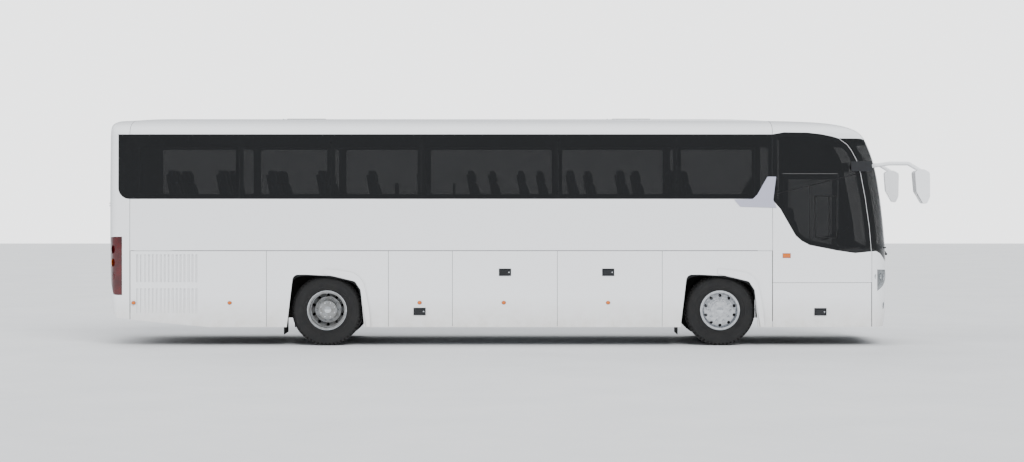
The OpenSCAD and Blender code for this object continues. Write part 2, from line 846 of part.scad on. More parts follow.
// knuckle on the left: fork, kingpin, spindle, caliper and steering arm
module knuckle() {
  z0 = axle_z - boss_h / 2;
  color("#77797c") translate([front_axle_x, kingpin_y, 0]) {
    translate([0, 0, z0 - 40]) cylinder(r = kingpin_r, h = boss_h + 80);
    for (z = [z0 - 36, z0 + boss_h + 6]) {
      translate([0, 0, z]) cylinder(r = 50, h = 30);
      box(-50, 50, 0, 90, z, z + 30);
    }
    box(-50, 50, 60, 90, z0 - 36, z0 + boss_h + 36);
    translate([0, 90, axle_z]) rotate([-90, 0, 0]) cylinder(r = spindle_r, h = front_wheel_y - kingpin_y - 20);
    box(-steer_arm - 25, 0, -20, 20, z0 - 66, z0 - 36);
    translate([-steer_arm, 0, z0 - 106]) cylinder(r = 12, h = 50);
    translate([-170, 78, axle_z - 70]) cube([75, 12, 140]);
    box(-120, -40, 60, 90, axle_z - 70, axle_z + 70);
  }
}

rod_z = axle_z - boss_h / 2 - 96;
module tie_rod() {
  color(steel) difference() {
    union() {
      sides() translate([front_axle_x - steer_arm, kingpin_y, rod_z - 10]) cylinder(r = 24, h = 24);
      box(front_axle_x - steer_arm - 14, front_axle_x - steer_arm + 14, -kingpin_y, kingpin_y, rod_z - 10, rod_z + 14);
    }
    sides() translate([front_axle_x - steer_arm, kingpin_y, 0]) cylinder(r = 12 + pin_play, h = 2 * axle_z);
  }
}

module rear_axle() {
  color(steel) translate([rear_axle_x, 0, axle_z]) {
    rotate([90, 0, 0]) cylinder(r = 75, h = 2 * (rear_wheel_y - 350), center = true);
    rotate([90, 0, 0]) cylinder(r = axle_end_r, h = 2 * (rear_wheel_y + 90), center = true);
    sphere(210);
    translate([-330, 0, 0]) rotate([0, 90, 0]) cylinder(r = 110, h = 330);
    sides() {
      box(-390, 390, rail_y - 10, rail_y + rail_w + 10, -110, -90);
      box(-60, 60, rail_y - 10, rail_y + rail_w + 10, -90, 60);
    }
  }
}

// wheels, turned about the Y axis and drawn at the origin with the outboard side at +Y

bead_r = 290;
rim_w = 232;

module turned(points) rotate([-90, 0, 0]) rotate_extrude($fn = 96) polygon([for (p = points) [p[0], p[1]]]);

module tyre() {
  t = tyre_w / 2;
  r = tyre_d / 2;
  color("#1b1c1e") turned([
    [bead_r, -112], [bead_r + 14, -114], [bead_r + 40, -t + 20], [r - 130, -t], [r - 88, -t], [r - 40, -t + 12],
    [r - 14, -t + 28], [r - 3, -t + 48], [r, 0], [r - 3, t - 48], [r - 14, t - 28], [r - 40, t - 12],
    [r - 88, t], [r - 130, t], [bead_r + 40, t - 20], [bead_r + 14, 114], [bead_r, 112]
  ]);
}

hand_r = 225;
stud_r = 167.5;

// rim with a disc whose face stands out at +face, or in at a negative face
module wheel(face) {
  s = face < 0 ? -1 : 1;
  difference() {
    union() {
      turned([
        [bead_r - 0.3, -112], [bead_r + 12, -116], [bead_r + 12, -122], [bead_r - 22, -122], [bead_r - 22, 122],
        [bead_r + 12, 122], [bead_r + 12, 116], [bead_r - 0.3, 112]
      ]);
      turned([
        [bead_r - 21, s * 60], [bead_r - 40, s * 60], [200, face - s * 12], [100, face - s * 12], [100, face],
        [200, face], [bead_r - 21, s * 85]
      ]);
    }
    for (i = [0:9]) rotate([0, 36 * i + 18, 0]) translate([hand_r, 0, 0]) rotate([90, 0, 0])
      cylinder(r = 24, h = 400, center = true);
  }
}

module nuts(face) {
  for (i = [0:9]) rotate([0, 36 * i, 0]) translate([stud_r, face - 1, 0]) rotate([-90, 0, 0])
    cylinder(r = 17, h = 30);
}

// hub around a spindle, closed outboard
module hub(y0, y1) rotate([-90, 0, 0]) translate([0, 0, y0]) cylinder(r = 140, h = y1 - y0);
module hub_bore(r, y0, y1) rotate([-90, 0, 0]) translate([0, 0, y0]) cylinder(r = r, h = y1 - y0);

module front_wheel() {
  color("#b9bcc0") difference() {
    union() {
      wheel(126);
      nuts(126);
      hub(-50, 150);
      rotate([-90, 0, 0]) translate([0, 0, -50]) cylinder(r = 215, h = 40);
    }
    hub_bore(spindle_r + pin_play, -60, 110);
  }
}

twin_gap = 344;
twin_face = 14 - twin_gap / 2;
axle_end_r = 55;

module rear_wheels() {
  color("#b9bcc0") difference() {
    union() {
      translate([0, twin_gap / 2, 0]) wheel(twin_face);
      translate([0, twin_gap / 2, 0]) nuts(twin_face);
      translate([0, -twin_gap / 2, 0]) mirror([0, 1, 0]) wheel(twin_face);
      hub(-150, 150);
      hub(-15, 15);
    }
    hub_bore(axle_end_r + pin_play, -160, 110);
  }
}

module rear_tyres() for (s = [-1, 1]) translate([0, s * twin_gap / 2, 0]) tyre();

module at_front() translate([front_axle_x, front_wheel_y, axle_z]) children();
module at_rear() translate([rear_axle_x, rear_wheel_y, axle_z]) children();

// cabin

seat_pitch = 762;
seat_rows_right = floor((cap_x - 170 - (rear_cap_x + 510)) / seat_pitch);
seat_top = 1185;

// side outline of a seat, its top rear edge over the origin
module seat2d() {
  polygon([
    [0, seat_top], [30, seat_top + 12], [95, seat_top + 8], [118, seat_top - 40], [245, 480], [600, 495], [640, 465],
    [640, 390], [600, 350], [150, 350], [105, 420]
  ]);
}

module seat_pair(x) {
  y1 = wall_in - lean - 8;
  for (y = [y1 - 445, y1 - 898]) translate([x, 0, deck_z]) along_y(y, y + 445) seat2d();
  box(x + 240, x + 300, y1 - 880, y1 - 20, deck_z + 300, deck_z + 352);
  box(x + 240, x + 420, y1 - 480, y1 - 420, deck_z, deck_z + 352);
}

module seats_right() {
  color("#3d4450") mirror([0, 1, 0]) for (i = [0:seat_rows_right - 1]) seat_pair(rear_cap_x + 510 + i * seat_pitch);
}

module seats_left() {
  n = floor((centre_door_x0 - 60 - 640 - (rear_cap_x + 510)) / seat_pitch);
  m = floor((cap_x - 60 - (centre_door_x1 + 559)) / seat_pitch);
  color("#3d4450") {
    for (i = [0:n]) seat_pair(rear_cap_x + 510 + i * seat_pitch);
    for (i = [0:m - 1]) seat_pair(centre_door_x1 + 559 + i * seat_pitch);
  }
}

driver_x = front_x - 1500;
driver_y = -700;

module driver_seat() {
  color("#3d4450") translate([driver_x, 0, cab_floor_z]) {
    along_y(driver_y - 245, driver_y + 245) polygon([
      [-120, 1130], [-80, 1150], [-10, 1140], [15, 1090], [150, 500], [500, 515], [545, 480], [545, 410],
      [500, 370], [20, 370], [0, 430]
    ]);
    box(60, 460, driver_y - 180, driver_y + 180, 0, 370);
  }
}

dash_x = front_x - 670;
dash_z = belt_z - 44;
wheel_tilt = 25;
wheel_centre = [front_x - 820, driver_y, 1690];

module dashboard() {
  color("#2c2f33") {
    intersection() {
      within(wall_t + 10, dash_x, front_x, -500);
      union() {
        along_y(-w, stair_y - 20) polygon([
          [dash_x, cab_floor_z], [nose_flat_x - 2, cab_floor_z], [nose_flat_x - 2, cab_floor_z + 60],
          [front_x, cab_floor_z + 200], [front_x, dash_z - 60], [dash_x + 60, dash_z], [dash_x, dash_z - 80]
        ]);
      }
    }
    translate(wheel_centre) rotate([0, -wheel_tilt, 0]) translate([0, 0, -620]) cylinder(r = 38, h = 580 - rest_gap);
  }
}

module steering_wheel() {
  color("#1c1d20") translate(wheel_centre) rotate([0, -wheel_tilt, 0]) {
    rotate_extrude() translate([225, 0]) circle(15);
    translate([0, 0, -40]) cylinder(r = 55, h = 50);
    for (a = [30, 150, 270]) rotate(a) translate([30, -16, -14]) cube([190, 32, 20]);
  }
}

module luggage_racks() {
  color("#c9ccd0") sides() along_x(rear_cap_x + 100, cap_x - 100) intersection() {
    section2d(wall_t, -500);
    polygon([[640, band_hi - 120], [690, band_hi - 170], [1400, band_hi - 170], [1400, band_hi - 70], [690, band_hi - 30],
      [640, band_hi - 60]]);
  }
}

// outer fittings

module fin_trims() {
  color("#cfcfdd") sides() difference() {
    intersection() {
      side_strip(-9, 0, cap_x - 700, cap_x + 200, band_lo - 300, band_hi);
      along_y(w / 2, 2 * w) polygon([
        [cap_x - 74, band_lo + 338], [cap_x + 57, band_lo + 338], [cap_x + 13, band_lo - 13], [cap_x + 66, band_lo - 132],
        [cap_x - 489, band_lo - 116], [cap_x - 581, band_lo - 9], [cap_x - 296, band_lo + 2],
        [cap_x - 227, band_lo + 68], [cap_x - 140, band_lo + 225]
      ]);
    }
  }
}

marker_z = 653;
module marker_lamps() {
  color("#e58a1c") difference() {
    sides() {
      for (x = [rear_cap_x + 60, rear_arch_x0 - 561])
        translate([x, w - 5, marker_z]) rotate([-90, 0, 0]) cylinder(r = 30, h = 17);
      along_y(w - 3, w + 11) translate([cap_x + 152, belt_z - 111]) square([124, 72]);
    }
    along_x(rear_x, front_x) section2d(0, skirt_z);
  }
}

mirror_z = band_hi - 450;
module mirrors() {
  head_x = front_x + mirror_reach - 230;
  head_y = w + 105;
  color(black) sides() {
    intersection() {
      box(nose_flat_x - 160, front_x - 330, w / 2, w + 60, mirror_z - 110, mirror_z + 40);
      difference() { within(-38, nose_flat_x - 200, front_x); within(0, nose_flat_x - 300, front_x + 100, -500); }
    }
    along_y(head_y - 110, head_y + 110) offset(45) offset(-45) polygon([
      [head_x, mirror_z - 110], [head_x + 20, mirror_z - 420], [head_x + 150, mirror_z - 655],
      [head_x + 225, mirror_z - 500], [head_x + 230, mirror_z - 130], [head_x + 140, mirror_z - 80]
    ]);
  }
  color(white) difference() {
    sides() {
      tube([front_x - 360, w - 90, mirror_z - 35], [front_x - 60, w - 10, mirror_z + 10], 30);
      tube([front_x - 60, w - 10, mirror_z + 10], [head_x - 60, head_y - 15, mirror_z + 8], 30);
      tube([head_x - 60, head_y - 15, mirror_z + 8], [head_x + 120, head_y, mirror_z - 100], 30);
    }
    within(0, nose_flat_x - 300, front_x + 100, -500);
  }
}

module tube(a, b, r) hull() {
  translate(a) sphere(r, $fn = 16);
  translate(b) sphere(r, $fn = 16);
}

// distance of the outer surface behind the foremost point, at a side distance y and a height z
function plan_inset(y) = nose_depth * (1 - cos(asin(pow(abs(y) / w, 1.6))));
function side_inset(z) = lookup(z, [for (p = nose_line) [nose_z + p[1] * (body_height - nose_z), p[0]]]);
function nose_at(y, z, proud) = [front_x - max(plan_inset(y), side_inset(z)) + proud, y, z];

wiper_z = belt_z - 70;
module wipers() {
  color(black) difference() {
    for (y = [-640, 120]) {
      translate(nose_at(y, wiper_z, -30)) rotate([0, 90, 0]) cylinder(r = 16, h = 62);
      tube(nose_at(y, wiper_z, 26), nose_at(y + 480, wiper_z + 105, 26), 9);
      tube(nose_at(y + 60, wiper_z + 105, 20), nose_at(y + 500, wiper_z + 105, 20), 9);
      tube(nose_at(y + 480, wiper_z + 105, 24), nose_at(y - 300, wiper_z + 105, 24), 8);
    }
    within(0, front_x - 300, front_x + 100, -500);
  }
}

// parts that face left or right

module right() mirror([0, 1, 0]) children();

roof();
rear_cap();
front_cap();
front_mask();
right() side_wall();  // side_wall_right
side_wall_left();
right() skirt();  // skirt_right
skirt();  // skirt_left
floor_deck();
underframe();
chassis_rails();
wheel_houses();
side_glass();
windscreen();
rear_window();
headlamps();
tail_lamps();
marker_lamps();
mirrors();
wipers();
fin_trims();
seats_right();
seats_left();
driver_seat();
dashboard();
luggage_racks();
engine_block();
front_axle();
rear_axle();
air_springs();
mudflaps();
steering_wheel();
right() knuckle();  // knuckle_right
knuckle();  // knuckle_left
tie_rod();
right() at_front() front_wheel();  // front_wheel_right
at_front() front_wheel();  // front_wheel_left
right() at_front() tyre();  // front_tyre_right
at_front() tyre();  // front_tyre_left
right() at_rear() rear_wheels();  // rear_wheels_right
at_rear() rear_wheels();  // rear_wheels_left
right() at_rear() rear_tyres();  // rear_tyres_right
at_rear() rear_tyres();  // rear_tyres_left
right() luggage_door_set(bay_x1, bay_x2);  // luggage_door_rf
right() luggage_door_set(bay_x0, bay_x1);  // luggage_door_rr
luggage_door_set(bay_x1, bay_x2);  // luggage_door_lf
luggage_door_set(bay_x0, bay_x1);  // luggage_door_lr
right() lift_arms(bay_x1, bay_x2 - seam);  // lift_arms_rf
right() lift_arms(bay_x0, bay_x1 - seam);  // lift_arms_rr
lift_arms(bay_x1, bay_x2 - seam);  // lift_arms_lf
lift_arms(bay_x0, bay_x1 - seam);  // lift_arms_lr
service_door();
locker_door();
front_door();
front_door_arm();
centre_door();
centre_door_arm();
engine_lid();
roof_hatch(hatch_x[1]);  // roof_hatch_front
roof_hatch(hatch_x[0]);  // roof_hatch_rear
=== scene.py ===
"""Finishes, fittings and a studio stage for a touring coach. Lengths are metres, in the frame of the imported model."""

import json
import math

import bmesh
import bpy
import numpy as np
from mathutils import Matrix, Vector
from mathutils.bvhtree import BVHTree


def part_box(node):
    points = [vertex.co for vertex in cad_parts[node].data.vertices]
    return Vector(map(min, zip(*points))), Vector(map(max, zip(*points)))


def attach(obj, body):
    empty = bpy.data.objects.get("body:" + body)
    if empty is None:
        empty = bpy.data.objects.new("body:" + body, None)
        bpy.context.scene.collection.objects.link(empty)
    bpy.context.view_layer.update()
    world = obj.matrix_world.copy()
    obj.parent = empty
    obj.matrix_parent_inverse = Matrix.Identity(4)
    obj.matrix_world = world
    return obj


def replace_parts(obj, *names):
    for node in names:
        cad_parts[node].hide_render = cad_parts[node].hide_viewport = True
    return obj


bl_info = {
    "name": "Touring coach fittings",
    "version": (1, 0, 0),
    "blender": (4, 5, 0),
    "location": "View3D > Sidebar > Coach",
    "description": "Adds the finishes, wheels, lamps, seats and small fittings of a touring coach",
    "category": "Object",
}

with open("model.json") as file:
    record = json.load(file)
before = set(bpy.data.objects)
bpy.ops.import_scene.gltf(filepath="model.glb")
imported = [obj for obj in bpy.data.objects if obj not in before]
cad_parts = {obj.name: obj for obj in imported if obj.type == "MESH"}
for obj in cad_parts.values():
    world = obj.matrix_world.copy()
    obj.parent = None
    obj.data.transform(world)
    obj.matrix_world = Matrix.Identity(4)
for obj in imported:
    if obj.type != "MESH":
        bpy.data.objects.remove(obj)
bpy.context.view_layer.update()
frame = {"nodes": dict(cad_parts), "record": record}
NODES = frame["nodes"]

# main places of the body in metres, repeated from the part's source
HALF_W = 1.275
FRONT, REAR = 5.75, -6.25
NOSE, TAIL = 5.25, -6.03
BELT, BAND_HI, TOP = 1.444, 3.209, 3.47
# under TUCK_Z the sides lean in, down to the skirt's foot TUCK_H lower
TUCK_Z, TUCK_H = 0.7, 0.415
FRONT_AXLE, REAR_AXLE, AXLE_Z = 3.105, -2.865, 0.535
# wheel centres across, half the twin wheels' spacing, and the stud circle
FRONT_Y, REAR_Y, TWIN, STUDS = 1.06, 0.905, 0.172, 0.1675
DECK, CAB_FLOOR = 1.47, 0.95
SIDES = (-1, 1)
CORNERS = ("rf", "rr", "lf", "lr")
# the photo's camera: place, focal length and film width in millimetres, and shift
EYE, LENS, FILM, SHIFT = (-0.055, -36.275, 2.44), 81.2, 36.0, -0.045
# vertices nearer than this are one
SAME = 1e-5
# the nose's line: setbacks in millimetres against shares of the height from NOSE_Z to TOP
NOSE_Z = 1.26
NOSE_LINE = [
    (0, 0), (24, 0.1), (70, 0.2), (104, 0.29), (160, 0.43), (238, 0.6), (308, 0.71), (398, 0.81),
    (452, 0.86), (520, 0.895), (620, 0.925), (760, 0.95), (940, 0.97), (1180, 0.984), (1480, 0.993), (1800, 1),
]


# ---------------------------------------------------------------- colours and nodes

def srgb(text):
    """A hex colour as linear RGBA."""
    parts = [int(text[i : i + 2], 16) / 255 for i in (1, 3, 5)]
    return [c / 12.92 if c <= 0.04045 else ((c + 0.055) / 1.055) ** 2.4 for c in parts] + [1.0]


def add(tree, kind, inputs=None, **settings):
    """Adds a node with its settings, its values and its links from other nodes' sockets."""
    node = tree.nodes.new(kind)
    for key, value in settings.items():
        setattr(node, key, value)
    for key, value in (inputs or {}).items():
        if isinstance(value, bpy.types.NodeSocket):
            tree.links.new(value, node.inputs[key])
        else:
            node.inputs[key].default_value = value
    return node


def finish(name, colour, second=None, patch=0.4, spread=(0.35, 0.65), bump=None, film=None, **surface):
    """A material on object coordinates. second and patch mottle the colour over that many metres, bump is the size and
    depth of the grain in metres, film is the colour and top of the road dirt, and surface sets the shader's sockets."""
    made = bpy.data.materials.new(name)
    made.use_nodes = True
    tree = made.node_tree
    shader = next(n for n in tree.nodes if n.type == "BSDF_PRINCIPLED")
    for key, value in surface.items():
        shader.inputs[key.replace("_", " ")].default_value = value
    shader.inputs["Base Color"].default_value = srgb(colour)
    made.diffuse_color = srgb(colour)
    place = add(tree, "ShaderNodeTexCoord").outputs["Object"]
    tint = None
    if second:
        noise = add(tree, "ShaderNodeTexNoise", {"Vector": place, "Scale": 1 / patch, "Detail": 6.0, "Roughness": 0.62})
        ramp = add(tree, "ShaderNodeValToRGB", {"Fac": noise.outputs["Fac"]})
        ramp.color_ramp.elements[0].position, ramp.color_ramp.elements[1].position = spread
        ramp.color_ramp.elements[0].color, ramp.color_ramp.elements[1].color = srgb(colour), srgb(second)
        tint = ramp.outputs["Color"]
    if film:
        shade, top = film
        split = add(tree, "ShaderNodeSeparateXYZ", {"Vector": place})
        fade = add(tree, "ShaderNodeMapRange", {"Value": split.outputs["Z"], "From Min": top, "From Max": 0.2})
        dust = add(tree, "ShaderNodeTexNoise", {"Vector": place, "Scale": 6.0, "Detail": 8.0, "Roughness": 0.7})
        amount = add(tree, "ShaderNodeMath", {0: fade.outputs["Result"], 1: dust.outputs["Fac"]}, operation="MULTIPLY")
        mixed = add(tree, "ShaderNodeMix", {0: amount.outputs[0], 7: srgb(shade)}, data_type="RGBA")
        if tint:
            tree.links.new(tint, mixed.inputs[6])
        else:
            mixed.inputs[6].default_value = srgb(colour)
        tint = mixed.outputs[2]
    if tint:
        tree.links.new(tint, shader.inputs["Base Color"])
    if bump:
        size, depth = bump
        grain = add(tree, "ShaderNodeTexNoise", {"Vector": place, "Scale": 1 / size, "Detail": 3.0})
        relief = add(tree, "ShaderNodeBump", {"Height": grain.outputs["Fac"], "Distance": depth, "Strength": 0.6})
        tree.links.new(relief.outputs["Normal"], shader.inputs["Normal"])
    return made


def palette(sizes):
    """Every finish of the coach, by a short name."""
    white, silver = hexed(sizes.body_colour), hexed(sizes.fin_colour)
    return {
        # two-pack enamel sprayed on steel sheet: a clear gloss over a faint orange peel, dull with road dust low down
        "paint": finish("sprayed_enamel_white", white, patch=1.6, bump=(0.012, 0.00012), film=("#b9b3a6", 0.75),
                        Roughness=0.24, Coat_Weight=0.6, Coat_Roughness=0.06),
        # the same enamel with aluminium flake on the fin: a cool grey-violet sheen
        "fin": finish("metallic_enamel_silver", silver, "#bdbdd0", patch=0.003, Roughness=0.3, Metallic=0.55,
                      Coat_Weight=0.7, Coat_Roughness=0.05),
        # bonded panes with black ceramic print: a deep mirror-like black
        "frit": finish("ceramic_printed_glass", "#08090b", "#0c0d10", patch=0.5, Roughness=0.04, Coat_Weight=0.5,
                       Coat_Roughness=0.02),
        # tinted toughened glass: dark, but the seats show through it
        "glass": finish("tinted_toughened_glass", "#060708", "#08090b", patch=0.8, Roughness=0.03, Alpha=0.71,
                        Specular_IOR_Level=0.5),
        # clear laminated glass of the windscreen: lighter than the sides
        "screen": finish("laminated_windscreen_glass", "#070909", "#0a0c0e", patch=0.8, Roughness=0.02, Alpha=0.64,
                         Specular_IOR_Level=0.5),
        # carbon-black tyre rubber: matt and slightly dusty
        "tyre": finish("vulcanised_tyre_rubber", "#0f0f10", "#191817", patch=0.09, bump=(0.004, 0.0004),
                       Roughness=0.62),
        # polished forged aluminium and chromed steel: bright with fine turning marks
        "polished": finish("polished_forged_aluminium", "#d5d6d8", "#b9bbbe", patch=0.05, bump=(0.003, 0.00006),
                           Roughness=0.2, Metallic=1.0),
        "chrome": finish("chromed_steel", "#dfe1e3", "#cdd0d3", patch=0.03, Roughness=0.08, Metallic=1.0),
        # silver wheel lacquer over steel: softer than the chrome, mottled with brake dust
        "rim": finish("lacquered_steel_rim", "#a9abad", "#8b8a87", patch=0.07, bump=(0.004, 0.0001), Roughness=0.36,
                      Metallic=0.75),
        # EPDM profile rubber in joints and round panes: deep matt black
        "rubber": finish("extruded_epdm_rubber", "#101011", "#191919", patch=0.05, bump=(0.002, 0.0002),
                         Roughness=0.7),
        # moulded polypropylene, grained: handles, mirror shells, grilles
        "plastic": finish("grained_moulded_polypropylene", "#17181a", "#202124", patch=0.06, bump=(0.0016, 0.0002),
                          Roughness=0.5),
        # chassis wax over black primer: satin, with dry mud
        "chassis": finish("waxed_chassis_primer", "#1a1b1c", "#37332d", patch=0.22, bump=(0.006, 0.0006),
                          Roughness=0.66),
        # sand-cast iron with a thin rust bloom
        "cast": finish("sand_cast_iron", "#3b3b3b", "#4d4136", patch=0.05, bump=(0.003, 0.0008), Roughness=0.68,
                       Metallic=0.5),
        # zinc-plated mild steel: dull silver
        "zinc": finish("zinc_plated_steel", "#8f9398", "#7c8084", patch=0.02, bump=(0.002, 0.0001), Roughness=0.42,
                       Metallic=0.9),
        # moulded acrylic lenses over reflectors
        "red": finish("red_acrylic_lens", "#360407", "#4c060a", patch=0.12, Roughness=0.12, Coat_Weight=0.5),
        "amber": finish("amber_acrylic_lens", "#b85404", "#cf6a0c", patch=0.02, Roughness=0.12, Coat_Weight=0.8),
        "lens": finish("clear_polycarbonate_lens", "#dfe6ea", "#e8eef0", patch=0.1, Roughness=0.03, Alpha=0.22,
                       Specular_IOR_Level=0.7),
        "mirror": finish("vacuum_metallised_reflector", "#e6e8ea", "#d8dadc", patch=0.02,
                         Roughness=0.05, Metallic=1.0),
        # moquette seat cloth: short wool pile, blue-grey with a lighter fleck, and its vinyl side panels
        "moquette": finish("woven_wool_moquette", "#2b3140", "#434c63", patch=0.012, spread=(0.45, 0.55),
                           bump=(0.004, 0.001), Roughness=0.95, Sheen_Weight=0.5),
        "leatherette": finish("seat_leatherette", "#1c1e23", "#26282e", patch=0.02, bump=(0.003, 0.0004),
                              Roughness=0.5),
        # homogeneous vinyl floor with chips, and pale vinyl trim of walls and roof
        "vinyl": finish("chipped_vinyl_floor", "#44474c", "#5b5e62", patch=0.006, Roughness=0.6),
        "liner": finish("foam_backed_vinyl_liner", "#8f9296", "#85888c", patch=0.01, bump=(0.002, 0.0003),
                        Roughness=0.8),
        "dash": finish("slush_moulded_dash_skin", "#232529", "#2c2e33", patch=0.02, bump=(0.0012, 0.0002),
                       Roughness=0.6),
        # blank plates: reflective white sheet behind clear film
        "plate": finish("reflective_plate_sheet", "#e9e7df", "#dfddd4", patch=0.004, Roughness=0.35, Coat_Weight=0.4),
        # concrete-coloured studio floor
        "floor": finish("matt_studio_floor", "#d9dadb", "#d4d5d6", patch=1.5, bump=(0.02, 0.0003), Roughness=0.85),
    }


def hexed(colour):
    """A colour property as an sRGB hex text."""
    return "#" + "".join(f"{max(0, min(255, round(c * 255))):02x}" for c in colour[:3])


FINISH = {}


# ---------------------------------------------------------------- pieces

def piece(name, bm, body, slot, *finishes, smooth=35):
    """Closes a bmesh as a piece of the coach at the origin, shaded smooth where faces meet under an angle."""
    for edge in bm.edges:
        edge.smooth = len(edge.link_faces) == 2 and edge.calc_face_angle(0) < math.radians(smooth)
    for face in bm.faces:
        face.smooth = True
    mesh = bpy.data.meshes.new(name)
    bm.to_mesh(mesh)
    bm.free()
    for key in finishes:
        mesh.materials.append(FINISH[key])
    made = bpy.data.objects.new(name, mesh)
    bpy.context.scene.collection.objects.link(made)
    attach(made, body)
    return made


def merge(bm):
    """Merges vertices that lie on one another."""
    bmesh.ops.remove_doubles(bm, verts=bm.verts, dist=SAME)


def outward(bm):
    """Merges doubles and turns the faces outwards."""
    merge(bm)
    bmesh.ops.recalc_face_normals(bm, faces=bm.faces)


def block(bm, lo, hi, round_by=0.0, segments=2, material=0):
    """A box between two opposite corners, in any order, with rounded edges. Returns its vertices."""
    lo, hi = [Vector([pick(pair) for pair in zip(lo, hi)]) for pick in (min, max)]
    made = bmesh.ops.create_cube(bm, size=1.0)["verts"]
    bmesh.ops.scale(bm, vec=hi - lo, verts=made)
    bmesh.ops.translate(bm, vec=(lo + hi) / 2, verts=made)
    faces = {f for v in made for f in v.link_faces}
    for face in faces:
        face.material_index = material
    if round_by:
        edges = list({e for v in made for e in v.link_edges})
        done = bmesh.ops.bevel(bm, geom=edges, offset=round_by, segments=segments, profile=0.5, affect="EDGES",
                               material=-1, clamp_overlap=True)
        made = list({v for f in done["faces"] for v in f.verts} | {v for v in made if v.is_valid})
    return made


def rod(bm, start, end, radius, sides=16, round_by=0.0, material=0):
    """A round bar between two points."""
    start, end = Vector(start), Vector(end)
    axis = end - start
    turn = axis.to_track_quat("Z", "Y").to_matrix().to_4x4()
    made = bmesh.ops.create_cone(bm, cap_ends=True, segments=sides, radius1=radius, radius2=radius,
                                 depth=axis.length)["verts"]
    bmesh.ops.transform(bm, matrix=Matrix.Translation((start + end) / 2) @ turn, verts=made)
    faces = {f for v in made for f in v.link_faces}
    for face in faces:
        face.material_index = material
    if round_by:
        rims = list({e for f in faces if len(f.verts) > 4 for e in f.edges})
        bmesh.ops.bevel(bm, geom=rims, offset=round_by, segments=3, profile=0.5, affect="EDGES", material=-1)


def lathe(bm, profile, centre, axis="Y", steps=72, material=0, closed=True):
    """Spins (radius, along) points about an axis through the centre. Returns the new vertices."""
    along = {"X": Vector((1, 0, 0)), "Y": Vector((0, 1, 0)), "Z": Vector((0, 0, 1))}[axis]
    out = Vector((0, 0, 1)) if axis != "Z" else Vector((1, 0, 0))
    centre = Vector(centre)
    ring = [bm.verts.new(centre + out * r + along * a) for r, a in profile]
    edges = [bm.edges.new((ring[i], ring[i + 1])) for i in range(len(ring) - 1)]
    if closed:
        edges.append(bm.edges.new((ring[-1], ring[0])))
    before = set(bm.faces)
    bmesh.ops.spin(bm, geom=ring + edges, cent=centre, axis=along, dvec=(0, 0, 0), angle=math.tau, steps=steps,
                   use_merge=True)
    fresh = [f for f in bm.faces if f not in before]
    for face in fresh:
        face.material_index = material
    return list({v for f in fresh for v in f.verts})


def tube(bm, points, radius, sides=10, material=0):
    """A round tube through points, with closed ends."""
    curve = bpy.data.curves.new("path", "CURVE")
    curve.dimensions = "3D"
    curve.bevel_depth = radius
    curve.bevel_resolution = max(1, sides // 4)
    curve.use_fill_caps = True
    spline = curve.splines.new("NURBS")
    spline.points.add(len(points) - 1)
    for point, place in zip(spline.points, points):
        point.co = (*place, 1.0)
    spline.use_endpoint_u = True
    spline.order_u = min(4, len(points))
    spline.resolution_u = 8
    holder = bpy.data.objects.new("path", curve)
    bpy.context.scene.collection.objects.link(holder)
    mesh = bpy.data.meshes.new_from_object(holder)
    before = len(bm.faces)
    bm.from_mesh(mesh)
    bm.faces.ensure_lookup_table()
    for face in bm.faces[before:]:
        face.material_index = material
    bpy.data.objects.remove(holder)
    bpy.data.curves.remove(curve)
    bpy.data.meshes.remove(mesh)


# ---------------------------------------------------------------- the body's rounded shape

def bow(a, b, power, turn):
    """A point on a squared-off ellipse."""
    s = math.sin(math.radians(turn))
    return a * math.cos(math.radians(turn)), b * abs(s) ** (2 / power) * (1 if s >= 0 else -1)


def steps(low, high, step):
    """Evenly spaced numbers from low to high."""
    return [low + step * i for i in range(int(round((high - low) / step)) + 1)]


def flare(x, y, along, rise, sign):
    """Points that leave a straight side outwards, so that two outlines don't both round the same side."""
    return [(x + along * d, y + sign * rise * d * d) for d in (0.1, 0.2, 0.35, 0.5, 0.7, 0.9, 1.2, 1.6, 2.2)]


def rounded(points, times=3):
    """Cuts the corners of an open line again and again."""
    for _ in range(times):
        cut = [points[0]]
        for (ax, ay), (bx, by) in zip(points, points[1:]):
            cut += [(ax * 0.75 + bx * 0.25, ay * 0.75 + by * 0.25), (ax * 0.25 + bx * 0.75, ay * 0.25 + by * 0.75)]
        points = cut + [points[-1]]
    return points


